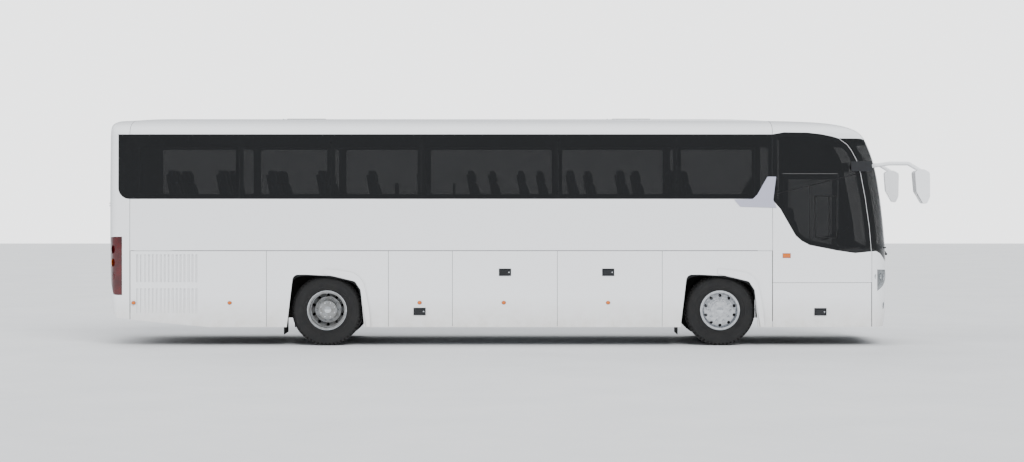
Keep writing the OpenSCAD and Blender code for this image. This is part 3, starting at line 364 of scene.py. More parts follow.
def outlines(smooth):
    """Plan, side and cross-section outlines as closed loops, as panels are cut or, if smooth, as they are pressed."""
    fine = 3 if smooth else 6
    nose = [(NOSE + q[0], q[1]) for q in (bow(0.5, HALF_W, 3.2, t) for t in steps(-90, 90, fine))]
    tail = [(TAIL - q[0], -q[1]) for q in (bow(0.22, HALF_W, 4, t) for t in steps(-90, 90, 1.5 * fine))]
    front = [(FRONT - p[0] / 1000, NOSE_Z + p[1] * (TOP - NOSE_Z)) for p in NOSE_LINE]
    chin = [(FRONT - 0.11, -0.5), (FRONT - 0.1, 0.31), (FRONT - 0.04, 0.4), (FRONT - 0.008, 0.56)]
    arc = [(REAR + 0.19 + 0.16 * math.cos(math.radians(a)), TOP - 0.16 + 0.16 * math.sin(math.radians(a)))
           for a in steps(90, 172, 5.125 if smooth else 10.25)]
    heel = [(REAR, 2.3), (REAR, 1.0), (REAR + 0.06, 0.7), (REAR + 0.105, 0.48), (REAR + 0.105, -0.5)]
    low = [(HALF_W - 0.014, -0.5), (HALF_W, TUCK_Z), (HALF_W, 1.5)]
    crown = [(q[0], BAND_HI + q[1]) for q in (bow(HALF_W - 0.04, TOP - BAND_HI, 2.6, t)
                                              for t in steps(0, 90, 2.5 if smooth else 7.5))]
    if smooth:
        left = flare(NOSE, HALF_W, -1, 0.6, 1) + flare(TAIL, HALF_W, 1, 0.6, 1)[::-1]
        plan = nose + left + tail + [(x, -y) for x, y in left[::-1]]
        over = flare(FRONT - 1.8, TOP, -1, 0.5, 1) + flare(REAR + 0.19, TOP, 1, 0.5, 1)[::-1]
        side = rounded(chin + front) + over + arc + rounded(heel[:-1], 2) + heel[-1:]
    else:
        plan, side = nose + tail, chin + front + arc + heel
    half = low + crown
    section = half + [(-y, z) for y, z in half[-2::-1]]
    return [np.array([p for i, p in enumerate(loop) if i == 0 or math.dist(p, loop[i - 1]) > 1e-6])
            for loop in (plan, side, section)]


CUT, PRESSED = outlines(False), outlines(True)
# how widely the pressed outlines blend where they meet, and the steps taken to find their surface
SOFT, TRIES = 0.045, 60
# behind, in front of and under these places the body keeps its cut shape
PRESS_FRONT, PRESS_REAR, PRESS_TOP = 4.3, -5.15, 3.0


def reach(loop, p):
    """Signed distances of 2D points to a loop, less than 0 inside, and the directions in which they grow."""
    step = np.roll(loop, -1, 0) - loop
    area = np.sum(loop[:, 0] * np.roll(loop[:, 1], -1) - loop[:, 1] * np.roll(loop[:, 0], -1))
    out = np.stack([step[:, 1], -step[:, 0]], 1) * np.sign(area)
    out /= np.linalg.norm(out, axis=1)[:, None]
    corner = out + np.roll(out, 1, 0)
    corner /= np.linalg.norm(corner, axis=1)[:, None]
    rel = p[:, None, :] - loop[None]
    share = np.clip(np.sum(rel * step, 2) / np.sum(step * step, 1), 0, 1)
    gap = rel - share[..., None] * step
    best = np.argmin(np.sum(gap * gap, 2), 1)
    row = np.arange(len(p))
    t = share[row, best][:, None]
    way = corner[best] * (1 - t) + np.roll(corner, -1, 0)[best] * t
    way /= np.linalg.norm(way, axis=1)[:, None]
    near = gap[row, best]
    return np.linalg.norm(near, axis=1) * np.where(np.sum(near * out[best], 1) >= 0, 1, -1), way


PLANES = ((0, 1), (0, 2), (1, 2))


def depth_of(points, loops):
    """Depth of points under the three outlines' common surface, less than 0 inside."""
    return np.max([reach(loop, points[:, list(ax)])[0] for loop, ax in zip(loops, PLANES)], 0)


def pressed(points):
    """Moves points from the cut shape of the body to its rounded, pressed shape, at the same depth under the skin."""
    points = np.array(points, float)
    near = (points[:, 0] > PRESS_FRONT) | (points[:, 0] < PRESS_REAR) | (points[:, 2] > PRESS_TOP)
    near &= (points[:, 2] > 0.2) | (points[:, 0] > 5.2) | (points[:, 0] < -6.0)
    for rows in np.array_split(np.nonzero(near)[0], max(1, near.sum() // 6000)):
        if not len(rows):
            continue
        p = points[rows]
        goal = depth_of(p, CUT)
        for _ in range(3):
            ways = np.zeros_like(p)
            found = [reach(loop, p[:, list(ax)]) for loop, ax in zip(PRESSED, PLANES)]
            values = np.array([f[0] for f in found])
            top = values.max(0)
            weight = np.exp((values - top) / SOFT)
            total = weight.sum(0)
            for (value, way), w, ax in zip(found, weight / total, PLANES):
                ways[:, ax[0]] += w * way[:, 0]
                ways[:, ax[1]] += w * way[:, 1]
            miss = top + SOFT * np.log(total) - goal
            p = p - ways * (miss / np.maximum(np.sum(ways * ways, 1), 0.2))[:, None]
        points[rows] = p
    return points


def move_all(bm, mover):
    """Moves every vertex to where mover puts it."""
    points = mover([v.co[:] for v in bm.verts])
    for vert, place in zip(bm.verts, points):
        vert.co = place


def dice(bm, axis, places):
    """Cuts the mesh at each place along an axis."""
    normal = [1.0 if i == axis else 0.0 for i in range(3)]
    low = min(v.co[axis] for v in bm.verts)
    high = max(v.co[axis] for v in bm.verts)
    for place in places:
        if low + 0.004 < place < high - 0.004:
            bmesh.ops.bisect_plane(bm, geom=bm.verts[:] + bm.edges[:] + bm.faces[:], dist=SAME,
                                   plane_co=[place * n for n in normal], plane_no=normal)


ENDS_X = steps(-6.24, -5.5, 0.04) + steps(-5.4, -5.0, 0.1) + steps(4.3, 5.1, 0.08) + steps(5.16, 5.74, 0.03)
ENDS_Y = steps(-1.25, 1.25, 0.05)
ENDS_Z = steps(0.32, 3.44, 0.06)


def panel(name, outer, inner, room, ends=False, pane=None, slot="body_white"):
    """A pressed copy of a CAD panel with one finish each for its outer skin, its edges and its inside, and for a pane
    let in under the skin."""
    body = body_of(name)
    bm = bmesh.new()
    bm.from_mesh(NODES[name].data)
    merge(bm)
    if ends:
        lo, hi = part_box(name)
        dice(bm, 0, ENDS_X)
        if hi.x > 4.4 or lo.x < -5.9 or ends == "roof":
            dice(bm, 1, ENDS_Y if ends != "roof" else ENDS_Y[::2])
            dice(bm, 2, ENDS_Z)
    bm.faces.ensure_lookup_table()
    centres = np.array([f.calc_center_median()[:] for f in bm.faces])
    normals = np.array([f.normal[:] for f in bm.faces])
    depth = depth_of(centres, CUT)
    facing = depth_of(centres + normals * 0.004, CUT) - depth
    tuck = np.where(centres[:, 2] < TUCK_Z, 0.012 * (TUCK_Z - centres[:, 2]) / TUCK_H, 0)
    for face, deep, out, under in zip(bm.faces, depth, facing, tuck):
        seen = deep > -0.003 - under and out > 0.001
        face.material_index = 0 if seen else 2 if deep < -0.035 and out < -0.001 else 1
        if pane and -0.026 < deep < -0.006 and abs(out) > 0.003:
            face.material_index = 3
    if ends:
        move_all(bm, pressed)
    made = piece(name + "_skin", bm, body, slot, outer, inner, room, *([pane] if pane else []), smooth=28)
    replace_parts(made, name)
    return made


def refit(name, slot, *keys, smooth=30, bevel=0.0, segments=2, mover=None, index=None):
    """A merged, smoothly shaded copy of a CAD node in place of the node, its faces' finishes chosen by index."""
    bm = bmesh.new()
    bm.from_mesh(NODES[name].data)
    merge(bm)
    if mover:
        move_all(bm, mover)
    for face in bm.faces:
        face.material_index = index(face.calc_center_median()) if index else 0
    made = piece(name + "_made", bm, body_of(name), slot, *keys, smooth=smooth)
    if bevel:
        edge = made.modifiers.new("edge", "BEVEL")
        edge.width, edge.segments, edge.limit_method, edge.angle_limit = bevel, segments, "ANGLE", math.radians(40)
        edge.harden_normals = True
    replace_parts(made, name)
    return made


def dress(name, key):
    """Gives a CAD node a better finish."""
    mesh = NODES[name].data
    mesh.materials.clear()
    mesh.materials.append(FINISH[key])


def body_of(name):
    """The moving body that a CAD node belongs to."""
    return next(body for body, members in frame["record"]["behaviour"]["bodies"].items() if name in members)


def skin(start, way=None):
    """The point where a line from outside first meets the body, on its pressed skin."""
    p = Vector(start)
    way = Vector(way or (0, -1 if p.y > 0 else 1, 0)).normalized()
    for _ in range(TRIES):
        deep = float(depth_of(np.array([p[:]]), CUT)[0])
        if abs(deep) < SAME:
            break
        p += way * deep
    return Vector(pressed([p[:]])[0])


def nose_x(y, z):
    """Where the nose's skin is at a place across and a height."""
    return skin((6.6, y, z), (-1, 0, 0)).x


def tail_x(y, z):
    """Where the tail's skin is at a place across and a height."""
    return skin((-7, y, z), (1, 0, 0)).x


def side_y(z):
    """Side distance of the straight side's skin at a height."""
    return HALF_W - (0.014 * (TUCK_Z - z) / TUCK_H if z < TUCK_Z else 0.04 * max(0, z - 1.5) / (BAND_HI - 1.5))


# ---------------------------------------------------------------- what a user may change

class CoachSizes(bpy.types.PropertyGroup):
    """Sizes and colours of the fittings."""

    body_colour: bpy.props.FloatVectorProperty(name="Body colour", description="Enamel of the panels, as sRGB",
                                               subtype="COLOR_GAMMA", size=3, min=0, max=1,
                                               default=(0.93, 0.935, 0.94))
    fin_colour: bpy.props.FloatVectorProperty(name="Fin colour", description="Metallic enamel of the fins, as sRGB",
                                              subtype="COLOR_GAMMA", size=3, min=0, max=1,
                                              default=(0.8, 0.8, 0.865))
    tread_depth: bpy.props.FloatProperty(name="Tread depth", description="Depth of the grooves round a tyre",
                                         default=0.014, unit="LENGTH")
    nut_radius: bpy.props.FloatProperty(name="Nut radius", description="Radius of a wheel nut's cap", default=0.0195,
                                        unit="LENGTH")
    handle_length: bpy.props.FloatProperty(name="Handle length", description="Length of a flap handle's plate",
                                           default=0.185, unit="LENGTH")
    seat_crown: bpy.props.FloatProperty(name="Seat crown", description="Rise of a seat pad above its edges",
                                        default=0.012, unit="LENGTH")
    light_power: bpy.props.FloatProperty(name="Key light", default=3.6,
                                         description="Strength of the key sun in watts a square metre")


class BodyPanels(bpy.types.Operator):
    """Presses the body panels, doors, lids and hatches and sprays them."""

    bl_idname = "coach.body_panels"
    bl_label = "Body panels"

    def execute(self, context):
        panel("roof", "paint", "rubber", "liner", ends="roof")
        panel("rear_cap", "paint", "frit", "liner", ends=True)
        panel("front_cap", "paint", "frit", "dash", ends=True)
        panel("front_mask", "paint", "plastic", "plastic", ends=True)
        for side in ("right", "left"):
            panel("side_wall_" + side, "paint", "frit", "liner", ends=True)
            panel("skirt_" + side, "paint", "plastic", "chassis", ends=True)
        for corner in CORNERS:
            panel("luggage_door_" + corner, "paint", "rubber", "zinc")
        panel("service_door", "paint", "rubber", "zinc")
        panel("locker_door", "paint", "rubber", "zinc", ends=True)
        panel("front_door", "paint", "rubber", "liner", ends=True, pane="glass")
        panel("centre_door", "paint", "rubber", "liner", pane="glass")
        panel("engine_lid", "paint", "rubber", "chassis", ends=True)
        for name in ("front", "rear"):
            panel("roof_hatch_" + name, "paint", "rubber", "liner", ends="roof")
        refit("fin_trims", "fin_silver", "fin", bevel=0.003)
        return {"FINISHED"}


class Glazing(bpy.types.Operator):
    """Bonds the panes into the body, with their joints and the driver's sliding pane."""

    bl_idname = "coach.glazing"
    bl_label = "Glazing"

    def execute(self, context):
        panel("side_glass", "glass", "glass", "glass", ends=True, slot="glass_dark")
        panel("windscreen", "screen", "screen", "screen", ends=True, slot="glass_dark")
        panel("rear_window", "glass", "glass", "glass", ends=True, slot="glass_dark")
        bm = bmesh.new()
        joints = [[(3.948, 2.305), (4.457, 2.429), (5.227, 2.618)], [(4.457, 2.42), (4.457, 1.6)]]
        slider = [(4.542, 1.64), (4.862, 1.64), (4.862, 2.27), (4.542, 2.27), (4.542, 1.64)]
        for side in SIDES:
            for line, radius in [(j, 0.0045) for j in joints] + ([(slider, 0.009)] if side < 0 else []):
                for (xa, za), (xb, zb) in zip(line, line[1:]):
                    along = [skin((xa + (xb - xa) * t / 5, side * 2, za + (zb - za) * t / 5)) for t in range(6)]
                    tube(bm, along, radius, sides=8)
        tube(bm, [skin((4.753, -2, z)) for z in steps(1.66, 2.26, 0.12)], 0.006, sides=8)
        piece("pane_joints", bm, "body", "rubber", "rubber")
        return {"FINISHED"}


def tyre(bm, x, y, depth):
    """A ribbed radial tyre with four tread grooves and notched shoulders."""
    half = [
        (0.290, 0.112), (0.296, 0.121), (0.303, 0.118), (0.309, 0.127), (0.318, 0.126), (0.332, 0.137), (0.352, 0.146),
        (0.355, 0.1505), (0.372, 0.1525), (0.375, 0.1500), (0.405, 0.1548), (0.440, 0.1556), (0.452, 0.1535),
        (0.470, 0.1515), (0.474, 0.1535), (0.486, 0.1500), (0.496, 0.1450), (0.508, 0.1385), (0.523, 0.1270),
        (0.5315, 0.1080), (0.5335, 0.0920), (0.5335 - depth, 0.0900), (0.5335 - depth, 0.0800), (0.5342, 0.0780),
        (0.5348, 0.0400), (0.5348 - depth, 0.0385), (0.5348 - depth, 0.0285), (0.535, 0.0270),
    ]
    profile = half + [(r, -a) for r, a in half[::-1]]
    made = lathe(bm, profile, (x, y, AXLE_Z), steps=108)
    faces = {f for v in made for f in v.link_faces}
    cuts, sipes = [], []
    for face in faces:
        c = face.calc_center_median() - Vector((x, y, AXLE_Z))
        radius, sector = math.hypot(c.x, c.z), int((math.atan2(c.z, c.x) % math.tau) / math.tau * 108)
        if 0.497 < radius < 0.5285 and abs(c.y) > 0.11 and sector % 2 == 0:
            cuts.append(face)
        if radius > 0.532 and abs(c.y) < 0.1 and sector % 3 == 0:
            sipes.append(face)
    bmesh.ops.recalc_face_normals(bm, faces=list(faces))
    bmesh.ops.inset_individual(bm, faces=cuts, thickness=0.0035, depth=-0.008)
    bmesh.ops.inset_individual(bm, faces=sipes, thickness=0.006, depth=-0.005)


def nut_cap(bm, centre, out, radius):
    """A domed cap over a wheel nut."""
    h = 0.036
    profile = [(0.0, h), (radius * 0.35, h * 0.97), (radius * 0.68, h * 0.84), (radius * 0.88, h * 0.6),
               (radius * 0.94, h * 0.25), (radius * 1.16, h * 0.18), (radius * 1.18, 0.0), (0.0, 0.0)]
    lathe(bm, [(r, a * out) for r, a in profile], centre, steps=16, closed=False)


class Wheels(bpy.types.Operator):
    """Turns the tyres and dresses the wheels with rings, domed nut caps and hub bolts."""

    bl_idname = "coach.wheels"
    bl_label = "Wheels"

    def execute(self, context):
        sizes = context.scene.coach_sizes
        for side, out in (("right", -1), ("left", 1)):
            refit("front_wheel_" + side, "rim_silver", "polished", bevel=0.0025)
            refit("rear_wheels_" + side, "rim_silver", "rim", bevel=0.0025)
            for node, x, places in (
                ("front_tyre_" + side, FRONT_AXLE, (FRONT_Y,)),
                ("rear_tyres_" + side, REAR_AXLE, (REAR_Y - TWIN, REAR_Y + TWIN)),
            ):
                bm = bmesh.new()
                for y in places:
                    tyre(bm, x, y * out, sizes.tread_depth)
                merge(bm)
                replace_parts(piece(node + "_rubber", bm, body_of(node), "tyre", "tyre", smooth=32), node)
            for name, x, y, face, ring, spin in (
                ("front", FRONT_AXLE, FRONT_Y, 0.126, 0.121, "front_wheel_" + side),
                ("rear", REAR_AXLE, REAR_Y, 0.014, 0.293, "rear_wheels_" + side),
            ):
                bm = bmesh.new()
                for i in range(10):
                    a = math.radians(36 * i)
                    stud = (x + STUDS * math.cos(a), (y + face - 0.0005) * out, AXLE_Z + STUDS * math.sin(a))
                    nut_cap(bm, stud, out, sizes.nut_radius)
                hub = y + 0.15
                lathe(bm, [(0.0, 0.004 * out), (0.045, 0.004 * out), (0.052, 0.0), (0.0, 0.0)], (x, hub * out, AXLE_Z),
                      steps=36, closed=False)
                for i in range(8):
                    a = math.radians(45 * i + 22.5)
                    start = Vector((x + 0.112 * math.cos(a), hub * out, AXLE_Z + 0.112 * math.sin(a)))
                    rod(bm, start - Vector((0, 0.002 * out, 0)), start + Vector((0, 0.009 * out, 0)), 0.0095, sides=6)
                ring = y + ring
                lathe(bm, [(0.2905, -0.012 * out), (0.2985, -0.004 * out), (0.3035, 0.001 * out), (0.3005, 0.004 * out),
                           (0.2945, 0.002 * out), (0.2685, -0.012 * out), (0.2665, -0.016 * out)],
                      (x, ring * out, AXLE_Z), steps=96, closed=True)
                # the air valve
                rod(bm, (x, (ring - 0.06) * out, AXLE_Z + 0.256), (x, (ring - 0.012) * out, AXLE_Z + 0.252), 0.0045,
                    sides=8)
                outward(bm)
                piece(f"{name}_wheel_trim_{side}", bm, spin, "rim_silver", "chrome", smooth=40)
        return {"FINISHED"}


def lamp_bowl(bm, centre, radius, depth):
    """A reflector bowl with a bulb shield, open towards the front."""
    profile = [(radius, 0.0), (radius * 0.96, -depth * 0.35), (radius * 0.75, -depth * 0.75), (radius * 0.35, -depth),
               (0.0, -depth), (0.0, -depth - 0.003), (radius * 0.4, -depth - 0.003), (radius * 0.82, -depth * 0.78),
               (radius * 1.03, -depth * 0.35), (radius * 1.06, 0.0)]
    lathe(bm, profile, centre, axis="X", steps=36)
    shield = [(radius * 0.3, -depth * 0.9), (radius * 0.3, -depth * 0.35), (radius * 0.18, -depth * 0.2),
              (0.0, -depth * 0.16)]
    lathe(bm, shield, centre, axis="X", steps=20, closed=False)


class Lamps(bpy.types.Operator):
    """Fits head lamps with their bowls, tail lamp clusters and side markers."""

    bl_idname = "coach.lamps"
    bl_label = "Lamps"

    def execute(self, context):
        refit("headlamps", "lamp_clear", "lens", mover=pressed)
        panel("tail_lamps", "red", "rubber", "plastic", ends=True, slot="lamp_red")
        bm = bmesh.new()
        for side in SIDES:
            for y, z, r in ((0.93, 1.03, 0.062), (1.07, 1.04, 0.056), (1.175, 1.05, 0.036)):
                lamp_bowl(bm, (nose_x(y * side, z) - 0.012, y * side, z), r, 0.028)
        outward(bm)
        piece("head_lamp_bowls", bm, "body", "lamp_clear", "mirror")
        bm = bmesh.new()
        for side in SIDES:
            for z, key in ((1.46, 0), (1.26, 1), (1.06, 2)):
                lathe(bm, [(0.0, -0.007), (0.03, -0.0065), (0.05, -0.004), (0.058, 0.002), (0.064, 0.006),
                           (0.0, 0.008)], (tail_x(1.185 * side, z), 1.185 * side, z), axis="X", steps=32, closed=False,
                      material=key)
        outward(bm)
        piece("tail_lamp_lenses", bm, "body", "lamp_red", "red", "amber", "lens")
        rear = [(x, 0.653, side) for x in (-5.79, -4.334) for side in SIDES]
        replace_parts(markers(bmesh.new(), "body", rear, True), "marker_lamps")
        for body, x, side in (
            ("service_door", -1.455, -1), ("luggage_door_rr", -0.179, -1), ("luggage_door_rf", 1.401, -1),
            ("luggage_door_lr", -0.179, 1), ("luggage_door_lf", 1.401, 1),
        ):
            markers(bmesh.new(), body, [(x, 0.656, side)], False)
        bm = bmesh.new()
        for side in SIDES:
            lathe(bm, [(0.0, 0.004), (0.04, 0.002), (0.052, -0.004), (0.056, -0.012), (0.0, -0.012)],
                  (nose_x(0.98 * side, 0.6) + 0.004, 0.98 * side, 0.6), axis="X", steps=32, closed=False)
        outward(bm)
        piece("fog_lamps", bm, "body", "lamp_clear", "mirror")
        return {"FINISHED"}


def markers(bm, body, places, repeaters):
    """Oval amber side markers with a rubber foot, and if wanted the flashers behind the front wheels."""
    for x, z, side in places:
        foot = lathe(bm, [(0.0, 0.005), (0.027, 0.005), (0.0285, 0.0), (0.0, 0.0)], (0, 0, 0), steps=28, closed=False,
                     material=1)
        dome = lathe(bm, [(0.0, 0.017), (0.012, 0.0165), (0.02, 0.014), (0.0245, 0.009), (0.0248, 0.0045),
                          (0.0, 0.0045)], (0, 0, 0), steps=28, closed=False)
        made = list(set(foot) | set(dome))
        bmesh.ops.scale(bm, vec=(1.22, side, 1.0), verts=made)
        bmesh.ops.translate(bm, vec=(x, (side_y(z) - 0.0005) * side, z), verts=made)
    if repeaters:
        for side in SIDES:
            block(bm, (4.045, side * HALF_W - 0.001, 1.333), (4.169, side * HALF_W + 0.001, 1.405), material=1)
            block(bm, (4.049, side * (HALF_W - 0.002), 1.337), (4.165, side * (HALF_W + 0.012), 1.401), 0.006, 3)
    outward(bm)
    return piece("side_markers_" + body, bm, body, "lamp_amber", "amber", "rubber", smooth=45)


class SideFittings(bpy.types.Operator):
    """Adds handles and locks, louvres, joint gaskets, blank plates, arch lips, hatch ribs and the end grilles."""

    bl_idname = "coach.side_fittings"
    bl_label = "Side fittings"

    def execute(self, context):
        length = context.scene.coach_sizes.handle_length / 2
        places = [("luggage_door_rr", -0.161, 1.117, -1), ("luggage_door_rf", 1.403, 1.117, -1),
                  ("service_door", -1.455, 0.523, -1), ("locker_door", 4.619, 0.518, -1),
                  ("luggage_door_lr", -0.161, 1.117, 1), ("luggage_door_lf", 1.403, 1.117, 1)]
        for body, x, z, side in places:
            bm = bmesh.new()
            y = skin((x, 2 * side, z)).y
            block(bm, (x - length, y - 0.004 * side, z - 0.056), (x + length, y + 0.009 * side, z + 0.056), 0.004, 3)
            front = [f for f in bm.faces if f.normal.y * side > 0.9 and f.calc_area() > 0.01]
            bmesh.ops.inset_region(bm, faces=front, thickness=0.012, depth=0.0)
            bmesh.ops.inset_region(bm, faces=front, thickness=0.006, depth=-0.006)
            block(bm, (x - length + 0.022, y + 0.002 * side, z + 0.004),
                  (x + length - 0.05, y + 0.01 * side, z + 0.034), 0.004, 3)
            lock_x = x + length - 0.032
            rod(bm, (lock_x, y, z), (lock_x, y + 0.009 * side, z), 0.011, sides=20, round_by=0.002, material=1)
            piece("handle_" + body, bm, body, "trim_black", "plastic", "chrome", smooth=40)
        # pull handles of the two passenger doors
        for body, x, z in (("front_door", 4.44, 1.05), ("centre_door", -1.12, 1.05)):
            bm = bmesh.new()
            y = skin((x, 2, z)).y
            block(bm, (x - 0.045, y - 0.004, z - 0.09), (x + 0.045, y + 0.005, z + 0.09), 0.004, 3)
            block(bm, (x - 0.02, y + 0.003, z - 0.07), (x + 0.02, y + 0.018, z + 0.07), 0.007, 3)
            piece("pull_" + body, bm, body, "trim_black", "plastic", smooth=40)
        bm = bmesh.new()
        for side in SIDES:
            for z0, z1 in ((0.965, 1.39), (0.495, 0.875)):
                for i in range(40):
                    x0 = -5.756 + i * 0.02375
                    back = 0.006 + 0.002 * math.cos(i * math.pi)
                    corners = [skin((x, 2 * side, z)) + Vector((0, -(back + 0.004) * side, 0))
                               for x, z in ((x0, z0), (x0 + 0.0245, z0), (x0 + 0.0245, z1), (x0, z1))]
                    lo = Vector([min(c[k] for c in corners) for k in range(3)])
                    hi = Vector([max(c[k] for c in corners) for k in range(3)])
                    block(bm, lo, hi + Vector((0, 0.002, 0)), 0.0008, 1)
        piece("side_louvres", bm, "body", "body_white", "paint", smooth=40)
        # black rubber gaskets seated in the joints between the side panels
        bm = bmesh.new()
        for side in SIDES:
            runs = [(-5.83, 3.88)] if side < 0 else [(-5.83, -1.94), (-0.94, 3.88)]
            for low, high in runs:
                tube(bm, [skin((x, 2 * side, BELT)) - Vector((0, 0.0015 * side, 0)) for x in steps(low, high, 0.5)],
                     0.0045, sides=8)
            for x in (-3.773, -1.925, -0.955, 0.635, 2.225):
                tube(bm, [(x, (side_y(z) - 0.010) * side, z) for z in (0.3, 0.7, 1.1, 1.44)], 0.0055, sides=8)
        piece("joint_gaskets", bm, "body", "rubber", "rubber", smooth=40)
        bm = bmesh.new()
        wide = 0.26
        for face, out, z in ((nose_x(0, 0.66), 1, 0.66), (skin((-6.9, 0, 0.585), (1, 0, 0)).x, -1, 0.585)):
            front = face + 0.009 * out
            block(bm, (face - 0.002 * out, -wide, z - 0.06), (front, wide, z + 0.06), 0.004, 3, material=1)
            block(bm, (front, -wide + 0.008, z - 0.052), (front + 0.003 * out, wide - 0.008, z + 0.052), 0.001, 1)
        piece("blank_plates", bm, "body", "trim_black", "plate", "plastic", smooth=40)
        bm = bmesh.new()
        for side in SIDES:
            for x in (FRONT_AXLE, REAR_AXLE):
                lip = [(-0.643, 0.3), (-0.64, 0.5), (-0.6, 0.72), (-0.545, 0.98), (-0.46, 1.062), (-0.3, 1.077),
                       (0.04, 1.06), (0.36, 0.99), (0.455, 0.935), (0.515, 0.83), (0.56, 0.55), (0.598, 0.3)]
                tube(bm, [(x + a, (side_y(z) - 0.012) * side, z) for a, z in lip], 0.011, sides=12)
        piece("arch_lips", bm, "body", "trim_black", "rubber")
        bm = bmesh.new()
        for x, name in ((-3.265, "roof_hatch_rear"), (1.805, "roof_hatch_front")):
            part = bmesh.new()
            for y in (-0.16, 0.0, 0.16):
                block(part, (x - 0.3, y - 0.045, TOP - 0.012), (x + 0.3, y + 0.045, TOP + 0.004), 0.006, 3)
            rod(part, (x - 0.37, -0.1, TOP - 0.002), (x - 0.37, 0.1, TOP - 0.002), 0.009, sides=12, material=1)
            piece("ribs_" + name, part, name, "trim_grey", "plastic", "zinc")
        # air intake low in the front bumper
        for z in steps(0.4, 0.52, 0.03):
            for i in range(12):
                y = -0.55 + i * 0.1
                face = nose_x(y, z)
                block(bm, (face - 0.004, y - 0.052, z - 0.008), (face + 0.003, y + 0.052, z + 0.008), 0.002, 1)
        # air outlet grille under the rear window
        for z in (2.12, 2.16):
            face = tail_x(0, z) - 0.004
            block(bm, (face, -0.9, z - 0.006), (face + 0.013, 0.9, z + 0.006), 0.002)
        piece("rear_air_outlet", bm, "body", "trim_black", "plastic")
        bm = bmesh.new()
        for z in steps(0.86, 1.24, 0.038):
            face = tail_x(0, z)
            block(bm, (face - 0.007, -0.62, z - 0.008), (face + 0.004, 0.62, z + 0.008), 0.003)
        face = tail_x(0, 0.76)
        block(bm, (face - 0.022, -0.1, 0.742), (face + 0.002, 0.1, 0.778), 0.008, 3)
        piece("lid_louvres", bm, "engine_lid", "trim_black", "plastic")
        return {"FINISHED"}


class MirrorsAndWipers(bpy.types.Operator):
    """Rounds the mirror shells, lays their glasses on and fits the wiper blades."""

    bl_idname = "coach.mirrors_wipers"
    bl_label = "Mirrors and wipers"

    def execute(self, context):
        refit("mirrors", "trim_black", "plastic", "paint", bevel=0.03, segments=4, mover=pressed,
              index=lambda c: 1 if c.x > 5.43 else 0)
        mesh = NODES["mirrors"].data
        shells = BVHTree.FromPolygons([v.co for v in mesh.vertices], [p.vertices for p in mesh.polygons])
        bm = bmesh.new()
        for side in SIDES:
            for z0, z1 in ((2.33, 2.62), (2.17, 2.3)):
                back = [shells.ray_cast(Vector((5.6, 1.38 * side, z)), Vector((1, 0, 0)))[0].x for z in (z0, z1)]
                for vert in block(bm, (-0.005, 1.38 * side - 0.08, z0), (0.003, 1.38 * side + 0.08, z1), 0.002):
                    vert.co.x += back[0] + (back[1] - back[0]) * (vert.co.z - z0) / (z1 - z0)
        piece("mirror_glasses", bm, "body", "trim_black", "mirror")
        refit("wipers", "trim_black", "rubber", mover=pressed)
        return {"FINISHED"}


def pad(bm, lo, hi, crown, cuts=7, front=None, channels=(), lean=(0, 0)):
    """A stuffed pad between two corners: its edges round off, its face crowns, and sewn channels run across it."""
    lo, hi = Vector(lo), Vector(hi)
    mid, half = (lo + hi) / 2, (hi - lo) / 2
    part = bmesh.new()
    bmesh.ops.create_cube(part, size=2.0)
    bmesh.ops.subdivide_edges(part, edges=part.edges, cuts=cuts, use_grid_fill=True)
    for vert in part.verts:
        q = vert.co.copy()
        q *= max(abs(c) for c in q) / sum(abs(c) ** 5 for c in q) ** 0.2
        if front:
            axis, sign = front
            others = [i for i in range(3) if i != axis]
            if vert.co[axis] * sign > 0.98:
                swell = (1 - vert.co[others[0]] ** 2) * (1 - vert.co[others[1]] ** 2)
                q[axis] += sign * crown / half[axis] * swell
                for place in channels:
                    q[axis] -= sign * 0.55 * crown / half[axis] * math.exp(-((vert.co[1] - place) / 0.09) ** 2)
        vert.co = mid + q * half
        vert.co.x += (lean[0] - vert.co.z) * lean[1]
    mesh = bpy.data.meshes.new("pad")
    part.to_mesh(mesh)
    part.free()
    bm.from_mesh(mesh)
    bpy.data.meshes.remove(mesh)


def leant(bm, lo, hi, lean, round_by=0.018):
    """A rounded board that leans back by a slope below a given height."""
    for vert in block(bm, lo, hi, round_by, 3):
        vert.co.x += (lean[0] - vert.co.z) * lean[1]


SEAT_ROWS = {
    "right": [-5.34 + 0.762 * i for i in range(11)],
    "left": [-5.34 + 0.762 * i for i in range(4)] + [-0.456 + 0.762 * i for i in range(5)],
}


